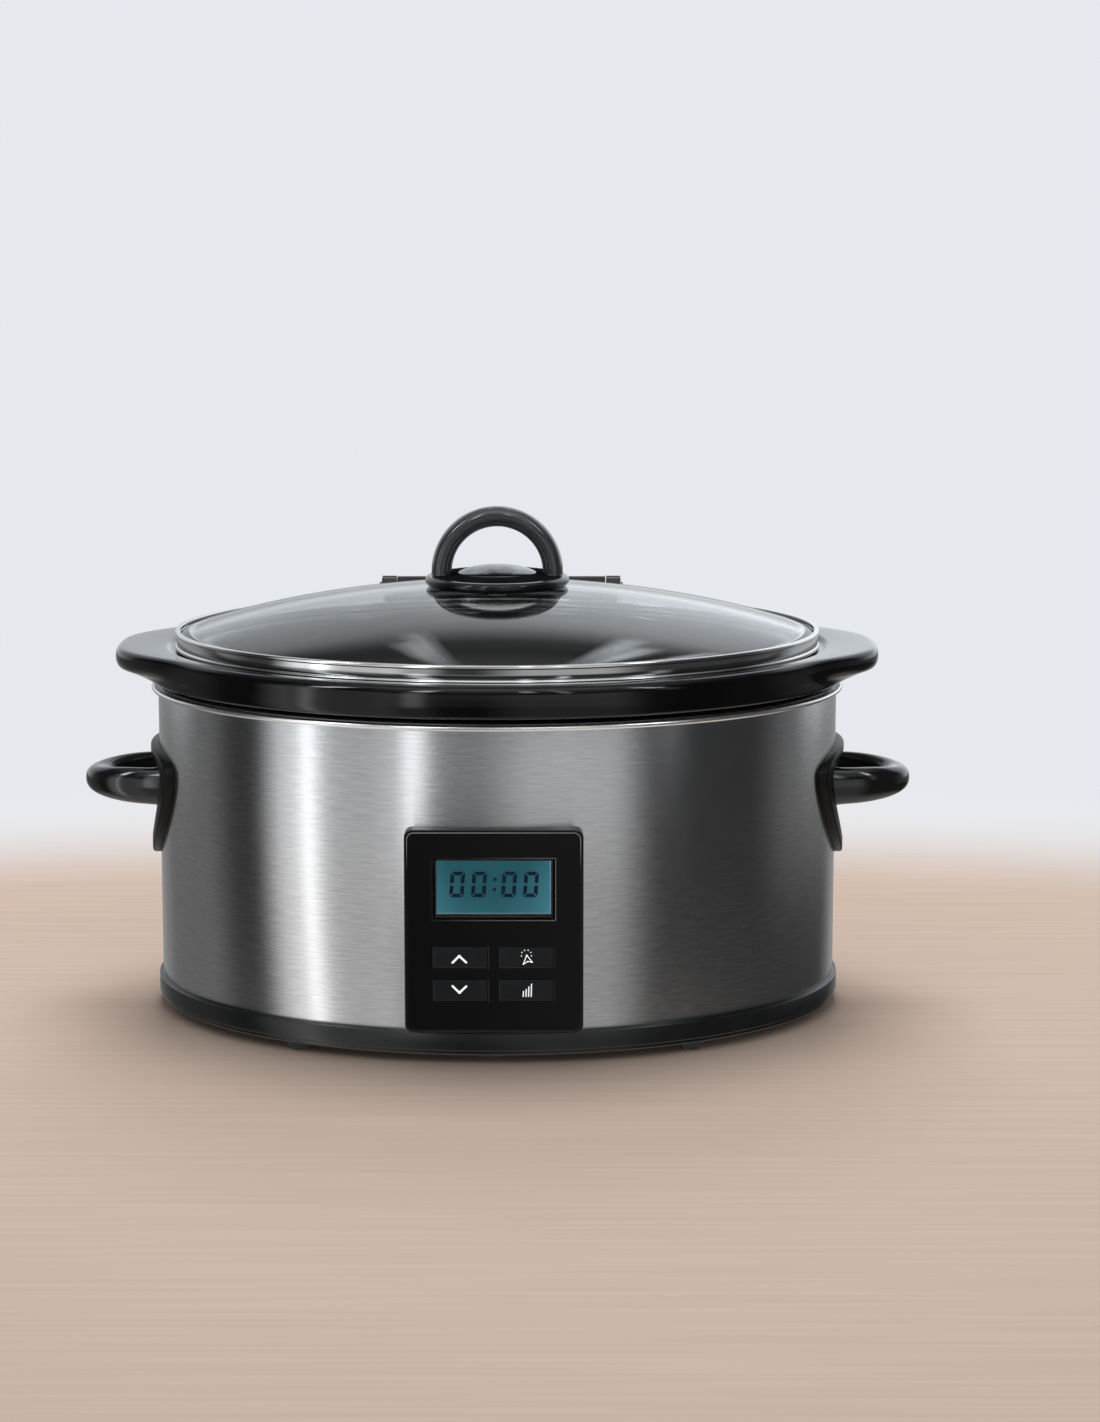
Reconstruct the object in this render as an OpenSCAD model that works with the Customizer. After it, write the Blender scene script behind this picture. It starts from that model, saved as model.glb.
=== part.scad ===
// Oval slow cooker with a hinged glass lid, lift-out crock and a flat control panel.
// Millimetres, +Z up, front towards -Y. The table is z = 0.

/* [Node] */
// Piece to draw, or all of them

/* [Body] */
// Half width of the oval steel shell
shell_a = 177.5; // [120:0.5:240]
// Half depth of the oval steel shell
shell_b = 138.5; // [90:0.5:200]
// Height of the shell's lower edge above the table
shell_z0 = 16.4; // [10:0.2:40]
// Height of the shell itself
shell_h = 151.6; // [90:0.2:220]
// Thickness of the shell sheet
sheet_t = 0.8; // [0.5:0.1:2]
// How far the rolled rim stands out from the shell
rim_out = 3.4; // [1:0.2:6]
// Height of the rolled rim
rim_h = 2.8; // [1.5:0.1:6]
// Height of the feet under the base ring
foot_h = 5; // [2:0.5:15]
// How far the feet's centres lie inside the shell's outline
foot_in = 6.6; // [4:0.1:12]
// Direction of the feet from the body's centre, in degrees from the width
foot_t = 54.6; // [30:0.2:65]

/* [Heating well] */
// Space between the outline of the shell and the inside of the heating well
well_in = 16.5; // [12:0.5:24]
// Height of the heating well's floor above the shell's lower edge
well_up = 29.6; // [24:0.2:50]
// Thickness of the heating band
band_t = 3; // [1:0.5:6]
// Height of the heating band
band_h = 38; // [10:1:80]

/* [Crock] */
// Height of the crock's flange
flange_h = 19.6; // [15:0.2:30]
// How far a wing of the crock reaches past the shell
wing_out = 22.8; // [18:0.2:40]
// How far the crock's lip reaches past the shell, front and back
lip_out = 7; // [4:0.5:12]
// Space between the well and the lower wall of the crock
crock_in = 12.6; // [6:0.2:20]
// Thickness of the crock's wall
crock_wall = 8.9; // [5:0.1:12]
// Depth of the seat that the lid lies in
seat_drop = 2.3; // [0.5:0.1:6]
// Clearance between the crock and the body under it
crock_gap = 0.3; // [0.1:0.1:1]
// Points around each ring of the crock
crock_n = 96; // [48:24:144]

/* [Lid] */
// How far the lid's end lies inside the shell's outline
lid_in_x = 9.2; // [6:0.1:14]
// How far the lid's front lies inside the shell's outline
lid_in_y = 8.2; // [6:0.1:14]
// Height of the steel lid band
lid_h = 9.3; // [6:0.1:14]
// Height of the seal under the band
seal_h = 0.5; // [0.3:0.1:2]
// Rise of the glass dome above its edge
dome_h = 25; // [10:0.5:60]
// Thickness of the glass
glass_t = 4; // [3:0.5:8]
// Gap between the lid's seal and the crock
lid_gap = 0.3; // [0.1:0.1:1]

/* [Knob] */
// Radius of the knob's round base
knob_r = 37.6; // [20:0.2:60]
// Outer radius of the knob's arch
arch_r = 34.3; // [15:0.1:55]
// Width of the arch's band seen from the front
arch_w = 10.6; // [4:0.1:20]
// Depth of the arch front to back
arch_d = 14; // [6:0.5:30]
// Height of the arch's legs
arch_leg = 3.6; // [1:0.1:12]
// Diameter of the knob's screw
knob_screw_d = 5; // [3:0.5:8]

/* [Lid hinge] */
// Hinge axis behind the crock's lip
hinge_back = 12.5; // [10:0.5:25]
// Hinge axis below the top of the lid's band
hinge_drop = 0.8; // [0:0.1:4]
// Diameter of the hinge pin
pin_d = 4; // [2:0.1:8]
// Radial clearance of the pin in the barrel and in the ears
pin_gap = 0.08; // [0.02:0.01:0.1]
// Outer face of the hinge ears
ear_x1 = 67.5; // [40:0.5:90]
// Thickness of each hinge ear
ear_t = 8; // [4:0.5:15]
// Radius of the ears' round tops
ear_r = 8; // [5:0.5:12]
// Radius of the lid's hinge barrel
barrel_r = 6.3; // [4:0.1:10]

/* [Control panel] */
// Width of the control panel
panel_w = 87.8; // [50:0.2:140]
// Bottom of the control panel above the shell's lower edge
panel_up = 1.5; // [0.5:0.1:20]
// Height of the control panel
panel_h = 101.7; // [85:0.1:120]
// How far the panel stands out from the shell
panel_out = 5.5; // [4:0.5:12]
// Corner radius of the panel
panel_r = 4; // [1:0.5:12]
// Width of the narrow bezel around the lens
bezel = 1.5; // [0.8:0.1:4]
// Thickness of the lens plate
lens_t = 1.5; // [1:0.1:3]
// Width of the display window
window_w = 60.4; // [30:0.2:80]
// Height of the display window
window_h = 31; // [20:0.2:40]
// Top of the display window below the panel's top
window_drop = 14.2; // [8:0.1:20]
// Width of a push button
button_w = 26.9; // [10:0.1:36]
// Height of a push button
button_h = 10.6; // [5:0.1:14]
// Spacing of the button columns, centre to centre
button_dx = 32.4; // [28:0.1:42]
// Centre of the lower button row above the panel's bottom
button_up0 = 21.2; // [12:0.1:30]
// Spacing of the button rows, centre to centre
button_dz = 16.5; // [12:0.1:30]
// Gap all round a button
button_gap = 0.35; // [0.15:0.05:1]
// Travel of a button
button_travel = 1; // [0.3:0.1:2]

/* [Side handles] */
// How far a side handle reaches out from the shell
handle_out = 39.5; // [30:0.5:60]
// Half spacing of a handle's two arms
handle_y = 24; // [15:0.5:50]
// Centre of the grip below the shell's upper edge
handle_drop = 50; // [30:0.5:80]
// Height of the grip's section
grip_h = 19; // [10:0.5:30]
// Thickness of the grip's section
grip_t = 10; // [6:0.5:20]
// Half width of the handle's back plate
plate_y = 55; // [30:0.5:80]
// Widest part of the back plate above the grip's centre
plate_mid = 8; // [2:0.5:12]
// Lowest point of the back plate below the grip's centre
plate_down = 39.5; // [25:0.5:50]
// Top of the back plate above the grip's centre
plate_up = 21.5; // [20:0.5:30]
// Thickness of the back plate
plate_t = 4.4; // [2:0.1:8]
// Diameter of the handle screws
handle_screw_d = 4; // [2:0.5:6]

/* [Inside] */
// Diameter of the small case screws
case_screw_d = 3; // [2:0.1:5]
// Radial clearance of a screw in the piece it passes through
screw_gap = 0.2; // [0.05:0.05:0.5]
// Thickness of the bottom cover
cover_t = 1; // [0.6:0.1:2]
// Height of the power board's standoffs
standoff_h = 7; // [4:0.5:10]
// Half depth of the power board
board_b = 30; // [26:1:34]
// Drop from the heating well's floor to the heat shield
shield_drop = 12; // [8:0.5:16]
// Distance of the two tie posts from the body's centre
post_x = 100; // [80:1:115]
// Diameter of the tie posts
post_d = 8; // [5:0.5:12]
// Diameter of the temperature sensor's cup
sensor_d = 14; // [8:0.5:24]
// Diameter of the hole in the cord inlet
inlet_d = 7.5; // [4:0.5:9]
// Height of the cord inlet above the shell's lower edge
inlet_up = 17.6; // [12:0.2:60]

/* [Hidden] */
$fn = 96;
oval_n = 96;                               // points around an oval
e = 0.5;                                   // overlap of cutting tools
STEEL = [0.72, 0.72, 0.72];
DARK_STEEL = [0.45, 0.46, 0.47];
BLACK = [0.06, 0.065, 0.07];
GLOSS = [0.03, 0.03, 0.035];
GLAZE = [0.05, 0.05, 0.055];
GLASS = [0.75, 0.78, 0.8, 0.45];
CHROME = [0.85, 0.85, 0.87];
RUBBER = [0.12, 0.12, 0.12];
BOARD = [0.05, 0.3, 0.14];
COPPER = [0.75, 0.45, 0.2];
WOOL = [0.85, 0.83, 0.75];
shell_z1 = shell_z0 + shell_h;
tall = shell_z1 + 120;                     // height of cuts that go right through
rim_a = shell_a + rim_out;
rim_b = shell_b + rim_out;
rim_z1 = shell_z1 - 0.4 + rim_h;           // top of the rolled rim
well_top = rim_z1 + 0.2;                   // top of the well's flange
crock_z = well_top + crock_gap;            // underside of the crock's flange
well_a = shell_a - well_in;
well_b = shell_b - well_in;
well_z0 = shell_z0 + well_up;
crock_bottom = well_z0 + 2.8;
crock_top = crock_z + flange_h;
seat_z = crock_top - seat_drop;            // the face that the lid lies on
wing_a = shell_a + wing_out;
lip_a = shell_a + 4;                       // half width of the lip between the wings
lip_b = shell_b + lip_out;
lid_a = shell_a - lid_in_x;
lid_b = shell_b - lid_in_y;
lid_z0 = seat_z + lid_gap + seal_h;
lid_z1 = lid_z0 + lid_h;
hinge_y = lip_b + hinge_back;
hinge_z = lid_z1 - hinge_drop;
// The pot's centre lies ahead of the origin, so the origin is under the middle of the whole part's box.
pot_y = -round((hinge_y + ear_r - lip_b) / 2);
well_o_a = well_a + sheet_t;
well_o_b = well_b + sheet_t;
band_z0 = well_z0 + 12;
cover_z = foot_h + 1;                      // underside of the bottom cover
board_z = cover_z + cover_t + standoff_h;
shield_z = well_z0 - shield_drop;
sensor_z = well_z0 - 4;
inlet_z = shell_z0 + inlet_up;
hole_d = case_screw_d + 2 * screw_gap;
pin_hole_d = pin_d + 2 * pin_gap;
ear_x0 = ear_x1 - ear_t;
barrel_x = ear_x0 - 0.6;
arm_x = 52;                                // half width of the lid bracket's arm
panel_y = shell_b + panel_out;
panel_z0 = shell_z0 + panel_up;
panel_z1 = panel_z0 + panel_h;
window_z1 = panel_z1 - window_drop;
window_z0 = window_z1 - window_h;
button_z0 = panel_z0 + button_up0;
handle_x = shell_a + handle_out;
handle_z = shell_z1 - handle_drop;
plate_zm = handle_z + plate_mid;
plate_z0 = handle_z - plate_down;
plate_z1 = handle_z + plate_up;
lens_back = panel_y - lens_t;
wall_back = lens_back - 2;                 // back of the panel's front wall
board_front = shell_b - 4.9;               // front of the control board, ahead of the centre
neck_w = panel_w - 9.8;
neck_z0 = panel_z0 + 6.1;
neck_z1 = panel_z1 - 5.6;
neck_back = shell_b - 8.1;
lcd_w = window_w - 2.8;
lcd_z0 = window_z0 + 1.1;
lcd_z1 = window_z1 - 0.7;
buttons = [for (j = [1, 0], i = [-1, 1]) [i * button_dx / 2 - 0.35, button_z0 + j * button_dz]];
handle_screw_h = 19;
dome_a = lid_a - 4.3;
dome_b = lid_b - 4.3;
dome_z = lid_z1 - 1.8;
dome_top = dome_z + dome_h;
glass_in = dome_top - glass_t;
glass_edge_a = lid_a - 1.7;
glass_edge_b = lid_b - 1.7;
knob_z = dome_top + 0.5;                   // underside of the knob's base
arch_z = knob_z + 2 + arch_leg;
post_z = [shell_z1 - 44, shell_z1 - 16];   // heights of the hinge post's screws
post_screw_x = 40;
rivet_x = [-36, 0, 36];
rivet_z = lid_z1 - 3.5;
// Half depth of an oval at a distance x from its middle, and half width at a distance y.
function oval_y(a, b, x) = b * sqrt(max(0, 1 - pow(x / a, 2)));
function oval_x(a, b, y) = oval_y(b, a, y);

module at_pot() translate([0, pot_y, 0]) children();
// An upright solid with an oval plan.
module oval(a, b, h, z = 0) translate([0, 0, z]) linear_extrude(height = h)
    polygon([for (i = [0:oval_n - 1]) let (t = 360 * i / oval_n) [a * cos(t), b * sin(t)]]);
// A tube with an oval plan, a and b outside.
module oval_tube(a, b, t, h, z = 0) difference() {
    oval(a, b, h, z);
    oval(a - t, b - t, h + 2 * e, z - e);
}
// A solid skinned over stacked rings of n points, each ring's radius given by ring_r(); the first
// and last rings are closed by fans to points on the axis.
module skin(rings, n, z_first, z_last) {
    m = len(rings);
    polyhedron(
        points = concat([for (s = rings, i = [0:n - 1]) let (t = 360 * i / n, r = ring_r(s, t))
            [r * cos(t), r * sin(t), s[0]]], [[0, 0, z_first], [0, 0, z_last]]),
        faces = concat(
            [for (k = [0:m - 2], i = [0:n - 1])
                [k * n + i, (k + 1) * n + i, (k + 1) * n + (i + 1) % n, k * n + (i + 1) % n]],
            [for (i = [0:n - 1]) [m * n, i, (i + 1) % n]],
            [for (i = [0:n - 1]) [m * n + 1, (m - 1) * n + (i + 1) % n, (m - 1) * n + i]]));
}
// A rod along Y between two depths.
module rod_y(d, y0, y1, x = 0, z = 0) translate([x, y1, z]) rotate([90, 0, 0]) cylinder(d = d, h = y1 - y0);
// A rod along X.
module rod_x(d, x0, x1, y = 0, z = 0) translate([x0, y, z]) rotate([0, 90, 0]) cylinder(d = d, h = x1 - x0);
// An upright rod.
module rod_z(d, z0, z1, x = 0, y = 0) translate([x, y, z0]) cylinder(d = d, h = z1 - z0);
module box_at(x0, x1, y0, y1, z0, z1) translate([x0, y0, z0]) cube([x1 - x0, y1 - y0, z1 - z0]);
// A plate in the XZ plane with round corners, from y0 to y1.
module face_plate(x0, x1, z0, z1, r, y0, y1) translate([0, y1, 0]) rotate([90, 0, 0])
    linear_extrude(height = y1 - y0) union() {
        translate([x0 + r, z0]) square([x1 - x0 - 2 * r, z1 - z0]);
        translate([x0, z0 + r]) square([x1 - x0, z1 - z0 - 2 * r]);
        for (x = [x0 + r, x1 - r], z = [z0 + r, z1 - r]) translate([x, z]) circle(r = r, $fn = 48);
    }
// Places children at the eight case screws around the base.
module base_screw_places() for (t = [0, 45, 90, 135, 180, 225, 270, 315])
    translate([(shell_a - 20) * cos(t), (shell_b - 20) * sin(t), 0]) children();

// Places children at the power board's four standoffs.
module standoff_places() for (x = [-38, 38], y = [6 - board_b, board_b - 6]) translate([x, y, 0]) children();
// Places children at the four feet.
module foot_places() for (i = [-1, 1], j = [-1, 1])
    translate([i * (shell_a - foot_in) * cos(foot_t), j * (shell_b - foot_in) * sin(foot_t), 0]) children();

// ---- Body ----
module outer_shell() color(STEEL) at_pot() difference() {
    oval_tube(shell_a, shell_b, sheet_t, shell_z1 - shell_z0, shell_z0);
    box_at(-neck_w / 2 - 0.3, neck_w / 2 + 0.3, -shell_b - 5, -shell_b + 20, neck_z0 - 1.3, neck_z1 + 1.3);
    for (y = [-handle_y, handle_y])
        rod_x(handle_screw_d + 2 * screw_gap, -shell_a - 5, shell_a + 5, y, handle_z);
    for (x = [-post_screw_x, post_screw_x], z = post_z) rod_y(hole_d, shell_b - 38.5, shell_b + 5, x, z);
    rod_y(12.2, shell_b - 38.5, shell_b + 5, 0, inlet_z);
}
module steel_rim() color(STEEL) at_pot() difference() {
    union() {
        oval(rim_a, rim_b, rim_h - 1.4, rim_z1 - rim_h + 0.7);
        oval(rim_a - 0.35, rim_b - 0.35, rim_h - 0.5, rim_z1 - rim_h + 0.25);
        oval(rim_a - 0.9, rim_b - 0.9, rim_h, rim_z1 - rim_h);
    }
    oval(shell_a + 0.05, shell_b + 0.05, 20, shell_z1 - 20);
    oval(shell_a - 0.9, shell_b - 0.9, 20, shell_z1 - e);
}
module heating_well() color(DARK_STEEL) at_pot() difference() {
    union() {
        oval(well_o_a, well_o_b, well_top - well_z0 - 8, well_z0 + 8);
        oval(well_o_a - 2, well_o_b - 2, 10, well_z0 + 3);
        oval(well_o_a - 6, well_o_b - 6, 10, well_z0 - sheet_t);
        oval(shell_a - 1.2, shell_b - 1.2, sheet_t, well_top - sheet_t);
    }
    oval(well_a, well_b, tall, well_z0 + 8.8);
    oval(well_a - 2, well_b - 2, 20, well_z0 + 3.8);
    oval(well_a - 6, well_b - 6, 20, well_z0);
    rod_z(sensor_d + 1, well_z0 - 5, well_z0 + 5);
    for (x = [-post_x, post_x]) rod_z(hole_d, well_z0 - 5, well_z0 + 5, x);
}
module heating_band() color(COPPER) at_pot() difference() {
    oval_tube(well_o_a + 0.1 + band_t, well_o_b + 0.1 + band_t, band_t, band_h, band_z0);
    box_at(-4, 4, well_o_b - 5, well_o_b + 10, band_z0 - e, band_z0 + band_h + e);
}
module band_clamp() color(STEEL) at_pot() difference() {
    union() for (s = [-1, 1]) {
        box_at(min(s * 4, s * 5.5), max(s * 4, s * 5.5), well_o_b + band_t + 0.13, well_o_b + 11,
            band_z0 + 4, band_z0 + band_h - 4);
    }
    rod_x(hole_d, -10, 10, well_o_b + 7.5, band_z0 + band_h / 2);
}
module band_screw() color(STEEL) at_pot() translate([0, well_o_b + 7.5, band_z0 + band_h / 2]) union() {
    rod_x(case_screw_d, -8.5, 8);
    rod_x(6, 5.5, 8);
    rod_x(5.5, -8, -5.5);
}
module well_insulation() color(WOOL) at_pot() difference() {
    oval_tube(well_o_a + band_t + 3.4, well_o_b + band_t + 3.4, 3, band_h + 14, band_z0 - 6);
    box_at(-14, 14, well_b, well_b + 20, band_z0 - 18, band_z0 + band_h + 24);
}
module base_ring() color(BLACK) at_pot() difference() {
    union() {
        oval(shell_a + 2, shell_b + 2.5, shell_z0 - foot_h - 2.4, foot_h + 2.4);
        oval(shell_a + 0.8, shell_b + 1.3, 2.4, foot_h);
        oval(shell_a - sheet_t - 0.3, shell_b - sheet_t - 0.3, 5.6, shell_z0);
    }
    oval(shell_a - 4.1, shell_b - 4.1, 40, foot_h + 4);
    oval(shell_a - 13.1, shell_b - 13.1, cover_z + cover_t - foot_h + e, foot_h - e);
    oval(shell_a - 26.5, shell_b - 26.5, 20, foot_h - 1);
    base_screw_places() cylinder(d = hole_d, h = 30);
    foot_places() cylinder(d = 6.2, h = 30);
}
module base_plate() color(DARK_STEEL) at_pot() difference() {
    oval(shell_a - 13.5, shell_b - 13.5, cover_t, cover_z);
    base_screw_places() cylinder(d = hole_d, h = 30);
    for (s = [-1, 1], i = [-4:4]) box_at(i * 14 - 2, i * 14 + 2, s * 62 - 14, s * 62 + 14, cover_z - 2, cover_z + 3);
    for (x = [-post_x, post_x]) rod_z(hole_d, cover_z - 2, cover_z + 3, x);
    standoff_places() rod_z(hole_d, cover_z - 2, cover_z + 3);
}
module base_screws() color(STEEL) at_pot() base_screw_places() {
    rod_z(5.6, cover_z - 1.8, cover_z);
    rod_z(case_screw_d, cover_z - 1, cover_z + 7);
}
module feet() color(RUBBER) at_pot() foot_places() {
    cylinder(r1 = 4, r2 = 6.8, h = foot_h);
    cylinder(d = 6, h = foot_h + 4.5);
}
module tie_posts() color(STEEL) at_pot() for (x = [-post_x, post_x]) difference() {
    rod_z(post_d, cover_z + cover_t, well_z0 - sheet_t, x);
    rod_z(2.5, cover_z - 1, cover_z + 14, x);
}
module heat_shield() color(STEEL) at_pot() difference() {
    oval(well_a - 21, well_b - 21, sheet_t, shield_z);
    for (x = [-post_x, post_x]) rod_z(post_d + 2 * screw_gap, shield_z - 4, shield_z + 6, x);
    rod_z(5, shield_z - 4, shield_z + 6);
}
module shield_spacers() color(STEEL) at_pot() for (t = [30, 150, 210, 330])
    rod_z(6, shield_z + sheet_t, well_z0 - sheet_t, (well_a - 71) * cos(t), (well_b - 42) * sin(t));

// ---- Sensors and power ----
module temp_sensor() color(CHROME) at_pot() difference() {
    union() {
        rod_z(sensor_d, sensor_z, crock_bottom - crock_gap);
        rod_z(sensor_d + 5, sensor_z, sensor_z + 1);
    }
    rod_z(sensor_d - 2, sensor_z - 1, crock_bottom - crock_gap - 1);
}
// Points of a round coil.
function coil_pt(k, m, r, w, z0, pitch, n, sides) =
    let (t = 360 * k / n, u = 360 * m / sides)
    [(r + w * cos(u)) * cos(t), (r + w * cos(u)) * sin(t), z0 + pitch * t / 360 + w * sin(u)];
module coil(r, w, z0, pitch, turns, n = 16, sides = 6) {
    rings = turns * n;
    polyhedron(
        points = [for (k = [0:rings], m = [0:sides - 1]) coil_pt(k, m, r, w, z0, pitch, n, sides)],
        faces = concat([[for (m = [0:sides - 1]) m]],
            [for (k = [0:rings - 1], m = [0:sides - 1])
                [k * sides + m, (k + 1) * sides + m, (k + 1) * sides + (m + 1) % sides,
                 k * sides + (m + 1) % sides]],
            [[for (m = [sides - 1:-1:0]) rings * sides + m]]));
}
module sensor_spring() color(STEEL) at_pot()
    coil(8, 0.5, shield_z + sheet_t + 0.5, (sensor_z - shield_z - sheet_t - 1) / 4, 4);
module thermal_fuse() color(CHROME) at_pot() rod_x(3, -6, 6, -well_o_b - 1.6, band_z0 + band_h + 1.6);
module power_board() color(BOARD) at_pot() difference() {
    box_at(-45, 45, -board_b, board_b, board_z, board_z + 1.6);
    standoff_places() rod_z(hole_d, board_z - 10, board_z + 16);
}
module board_standoffs() color(CHROME) at_pot() standoff_places() {
    rod_z(6, cover_z + cover_t, board_z);
    rod_z(case_screw_d, cover_z - 1, board_z + 3);
    rod_z(5.4, board_z + 1.6, board_z + 3.4);
}
module transformer() color([0.85, 0.7, 0.2]) at_pot() union() {
    box_at(-30, -6, -10, 12, board_z + 1.6, board_z + 6);
    box_at(-27, -9, -7, 9, board_z + 6, board_z + 17);
    box_at(-30, -6, -3, 5, board_z + 6, board_z + 19);
}
module relay() color([0.1, 0.25, 0.6]) at_pot() box_at(4, 23, -22, -6.5, board_z + 1.6, board_z + 16.6);
module capacitor() color([0.2, 0.2, 0.25]) at_pot() rod_z(10, board_z + 1.6, board_z + 15, 12, 6);
module terminal_block() color([0.1, 0.45, 0.25]) at_pot() difference() {
    box_at(26, 42, 2, 18, board_z + 1.6, board_z + 11.6);
    for (x = [30, 38]) rod_z(4, board_z + 6, board_z + 20, x, 8);
    for (x = [30, 38]) rod_y(3.2, 12, 20, x, board_z + 5);
}
// A round wire that follows a list of points.
function unit(v) = v / norm(v);
function wire_dir(p, k) = unit((k == 0 ? [0, 0, 0] : unit(p[k] - p[k - 1])) +
    (k == len(p) - 1 ? [0, 0, 0] : unit(p[k + 1] - p[k])));
function wire_ring(p, k, r, m) = let (d = wire_dir(p, k), u = unit(cross(d, [1, 0.02, 0.01])), w = cross(d, u))
    [for (i = [0:m - 1]) p[k] + r * (u * cos(360 * i / m) + w * sin(360 * i / m))];
module wire(p, d, m = 8) {
    n = len(p);
    polyhedron(points = [for (k = [0:n - 1]) each wire_ring(p, k, d / 2, m)],
        faces = concat([[for (i = [m - 1:-1:0]) i]],
            [for (k = [0:n - 2], i = [0:m - 1])
                [k * m + i, k * m + (i + 1) % m, (k + 1) * m + (i + 1) % m, (k + 1) * m + i]],
            [[for (i = [0:m - 1]) (n - 1) * m + i]]));
}
module heater_leads() color([0.9, 0.9, 0.85]) at_pot() for (s = [-1, 1])
    let (x = 34 + 8 * s, y = oval_y(well_o_a + 0.1 + band_t / 2, well_o_b + 0.1 + band_t / 2, x))
        wire([[34 + 4 * s, 18.1, board_z + 5], [34 + 4 * s, 60, board_z + 5], [34 + 6 * s, 80, board_z + 8],
            [34 + 7 * s, well_o_b - 15, board_z + 10], [x, y - 0.1, well_z0 - 10], [x, y, band_z0 - 0.2]], 2.2);
module cord_inlet() color(BLACK) at_pot() difference() {
    union() {
        rod_y(12, shell_b - 6, shell_b + 1, 0, inlet_z);
        rod_y(18, shell_b + 0.05, shell_b + 3.5, 0, inlet_z);
        rod_y(15, shell_b - 4, shell_b - sheet_t - 0.2, 0, inlet_z);
    }
    rod_y(inlet_d, shell_b - 38.5, shell_b + 21.5, 0, inlet_z);
}

// ---- Control panel ----
module button_openings(gap, y0, y1) for (c = buttons)
    box_at(c[0] - button_w / 2 - gap, c[0] + button_w / 2 + gap, y0, y1,
        c[1] - button_h / 2 - gap, c[1] + button_h / 2 + gap);
module panel_housing() color(BLACK) at_pot() difference() {
    union() {
        difference() {
            face_plate(-panel_w / 2, panel_w / 2, panel_z0, panel_z1, panel_r, -panel_y, -shell_b + 20);
            oval(shell_a + 0.1, shell_b + 0.1, tall, 0);
        }
        box_at(-neck_w / 2, neck_w / 2, -wall_back, -neck_back, neck_z0 - 1, neck_z1 + 1);
    }
    face_plate(-panel_w / 2 + bezel, panel_w / 2 - bezel, panel_z0 + bezel, panel_z1 - bezel,
        panel_r - bezel, -panel_y - e, -lens_back);
    box_at(-neck_w / 2 + 2, neck_w / 2 - 2, -wall_back, -neck_back + e, neck_z0 + 1, neck_z1 - 1);
    box_at(-lcd_w / 2 - 0.2, lcd_w / 2 + 0.2, -lens_back - e, -wall_back + e, lcd_z0 - 0.2, lcd_z1 + 0.2);
    button_openings(button_gap + 1.2, -lens_back - e, -wall_back + e);
}
module panel_lens() color(GLOSS) at_pot() difference() {
    face_plate(-panel_w / 2 + bezel + 0.1, panel_w / 2 - bezel - 0.1, panel_z0 + bezel + 0.1,
        panel_z1 - bezel - 0.1, panel_r - bezel, -panel_y + 0.15, -lens_back);
    box_at(-window_w / 2 - 0.1, window_w / 2 + 0.1, -panel_y - e, -lens_back + e,
        window_z0 - 0.1, window_z1 + 0.1);
    button_openings(button_gap, -panel_y - e, -lens_back + e);
}
module lcd_window() color(GLASS) at_pot()
    box_at(-window_w / 2, window_w / 2, -panel_y + 0.35, -lens_back, window_z0, window_z1);
module lcd_module() color([0.24, 0.47, 0.5]) at_pot() union() {
    box_at(-lcd_w / 2, lcd_w / 2, -lens_back + 0.1, -wall_back + 0.1, lcd_z0, lcd_z1);
    box_at(-window_w / 2 - 1.8, window_w / 2 + 1.8, -wall_back, -wall_back + 2.2, lcd_z0 - 4, lcd_z1 + 3);
}
module lcd_backlight() color([0.9, 0.92, 0.95]) at_pot()
    box_at(-window_w / 2 - 0.8, window_w / 2 + 0.8, -wall_back + 2.2, -board_front, lcd_z0 - 3, lcd_z1 + 2);
module control_board() color(BOARD) at_pot()
    box_at(-neck_w / 2 + 2.2, neck_w / 2 - 2.2, -board_front, -board_front + 1.6, neck_z0 + 1.2, neck_z1 - 1.2);
module board_chips() color([0.1, 0.1, 0.1]) at_pot() translate([0, -board_front + 1.6, panel_z0]) union() {
    box_at(-7, 7, 0, 1.4, 40.1, 54.1);
    for (z = [32.1, 62.1, 74.1]) box_at(14, 20, 0, 1.2, z, z + 4);
    for (i = [0:5]) box_at(-30 + i * 4, -28 + i * 4, 0, 0.9, 22.1, 23.3);
}
module tact_switches() color([0.2, 0.2, 0.22]) at_pot() for (c = buttons) {
    box_at(c[0] - 3, c[0] + 3, -board_front - 3.2, -board_front, c[1] - 3, c[1] + 3);
    rod_y(3.4, -board_front - 4, -board_front - 3, c[0], c[1]);
}
module ribbon_cable() color([0.7, 0.7, 0.72]) at_pot() translate([-14, 0, 0]) rotate([90, 0, 90])
    linear_extrude(height = 24) let (y = -board_front, b = -board_b, z = board_z, w = neck_z0)
        polygon([[y + 1.7, w + 6], [y + 2.7, w + 6], [y + 3.7, w + 5.2], [y + 15.6, z + 7], [y + 25.6, z + 3.6],
            [b - 0.2, z + 3.6], [b + 1.8, z + 2.6], [b + 1.8, z + 1.7], [b + 0.8, z + 1.7], [b - 0.6, z + 2.8],
            [y + 25.2, z + 2.8], [y + 15, z + 6.2], [y + 3.1, w + 4.2], [y + 1.7, w + 5]]);
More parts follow.
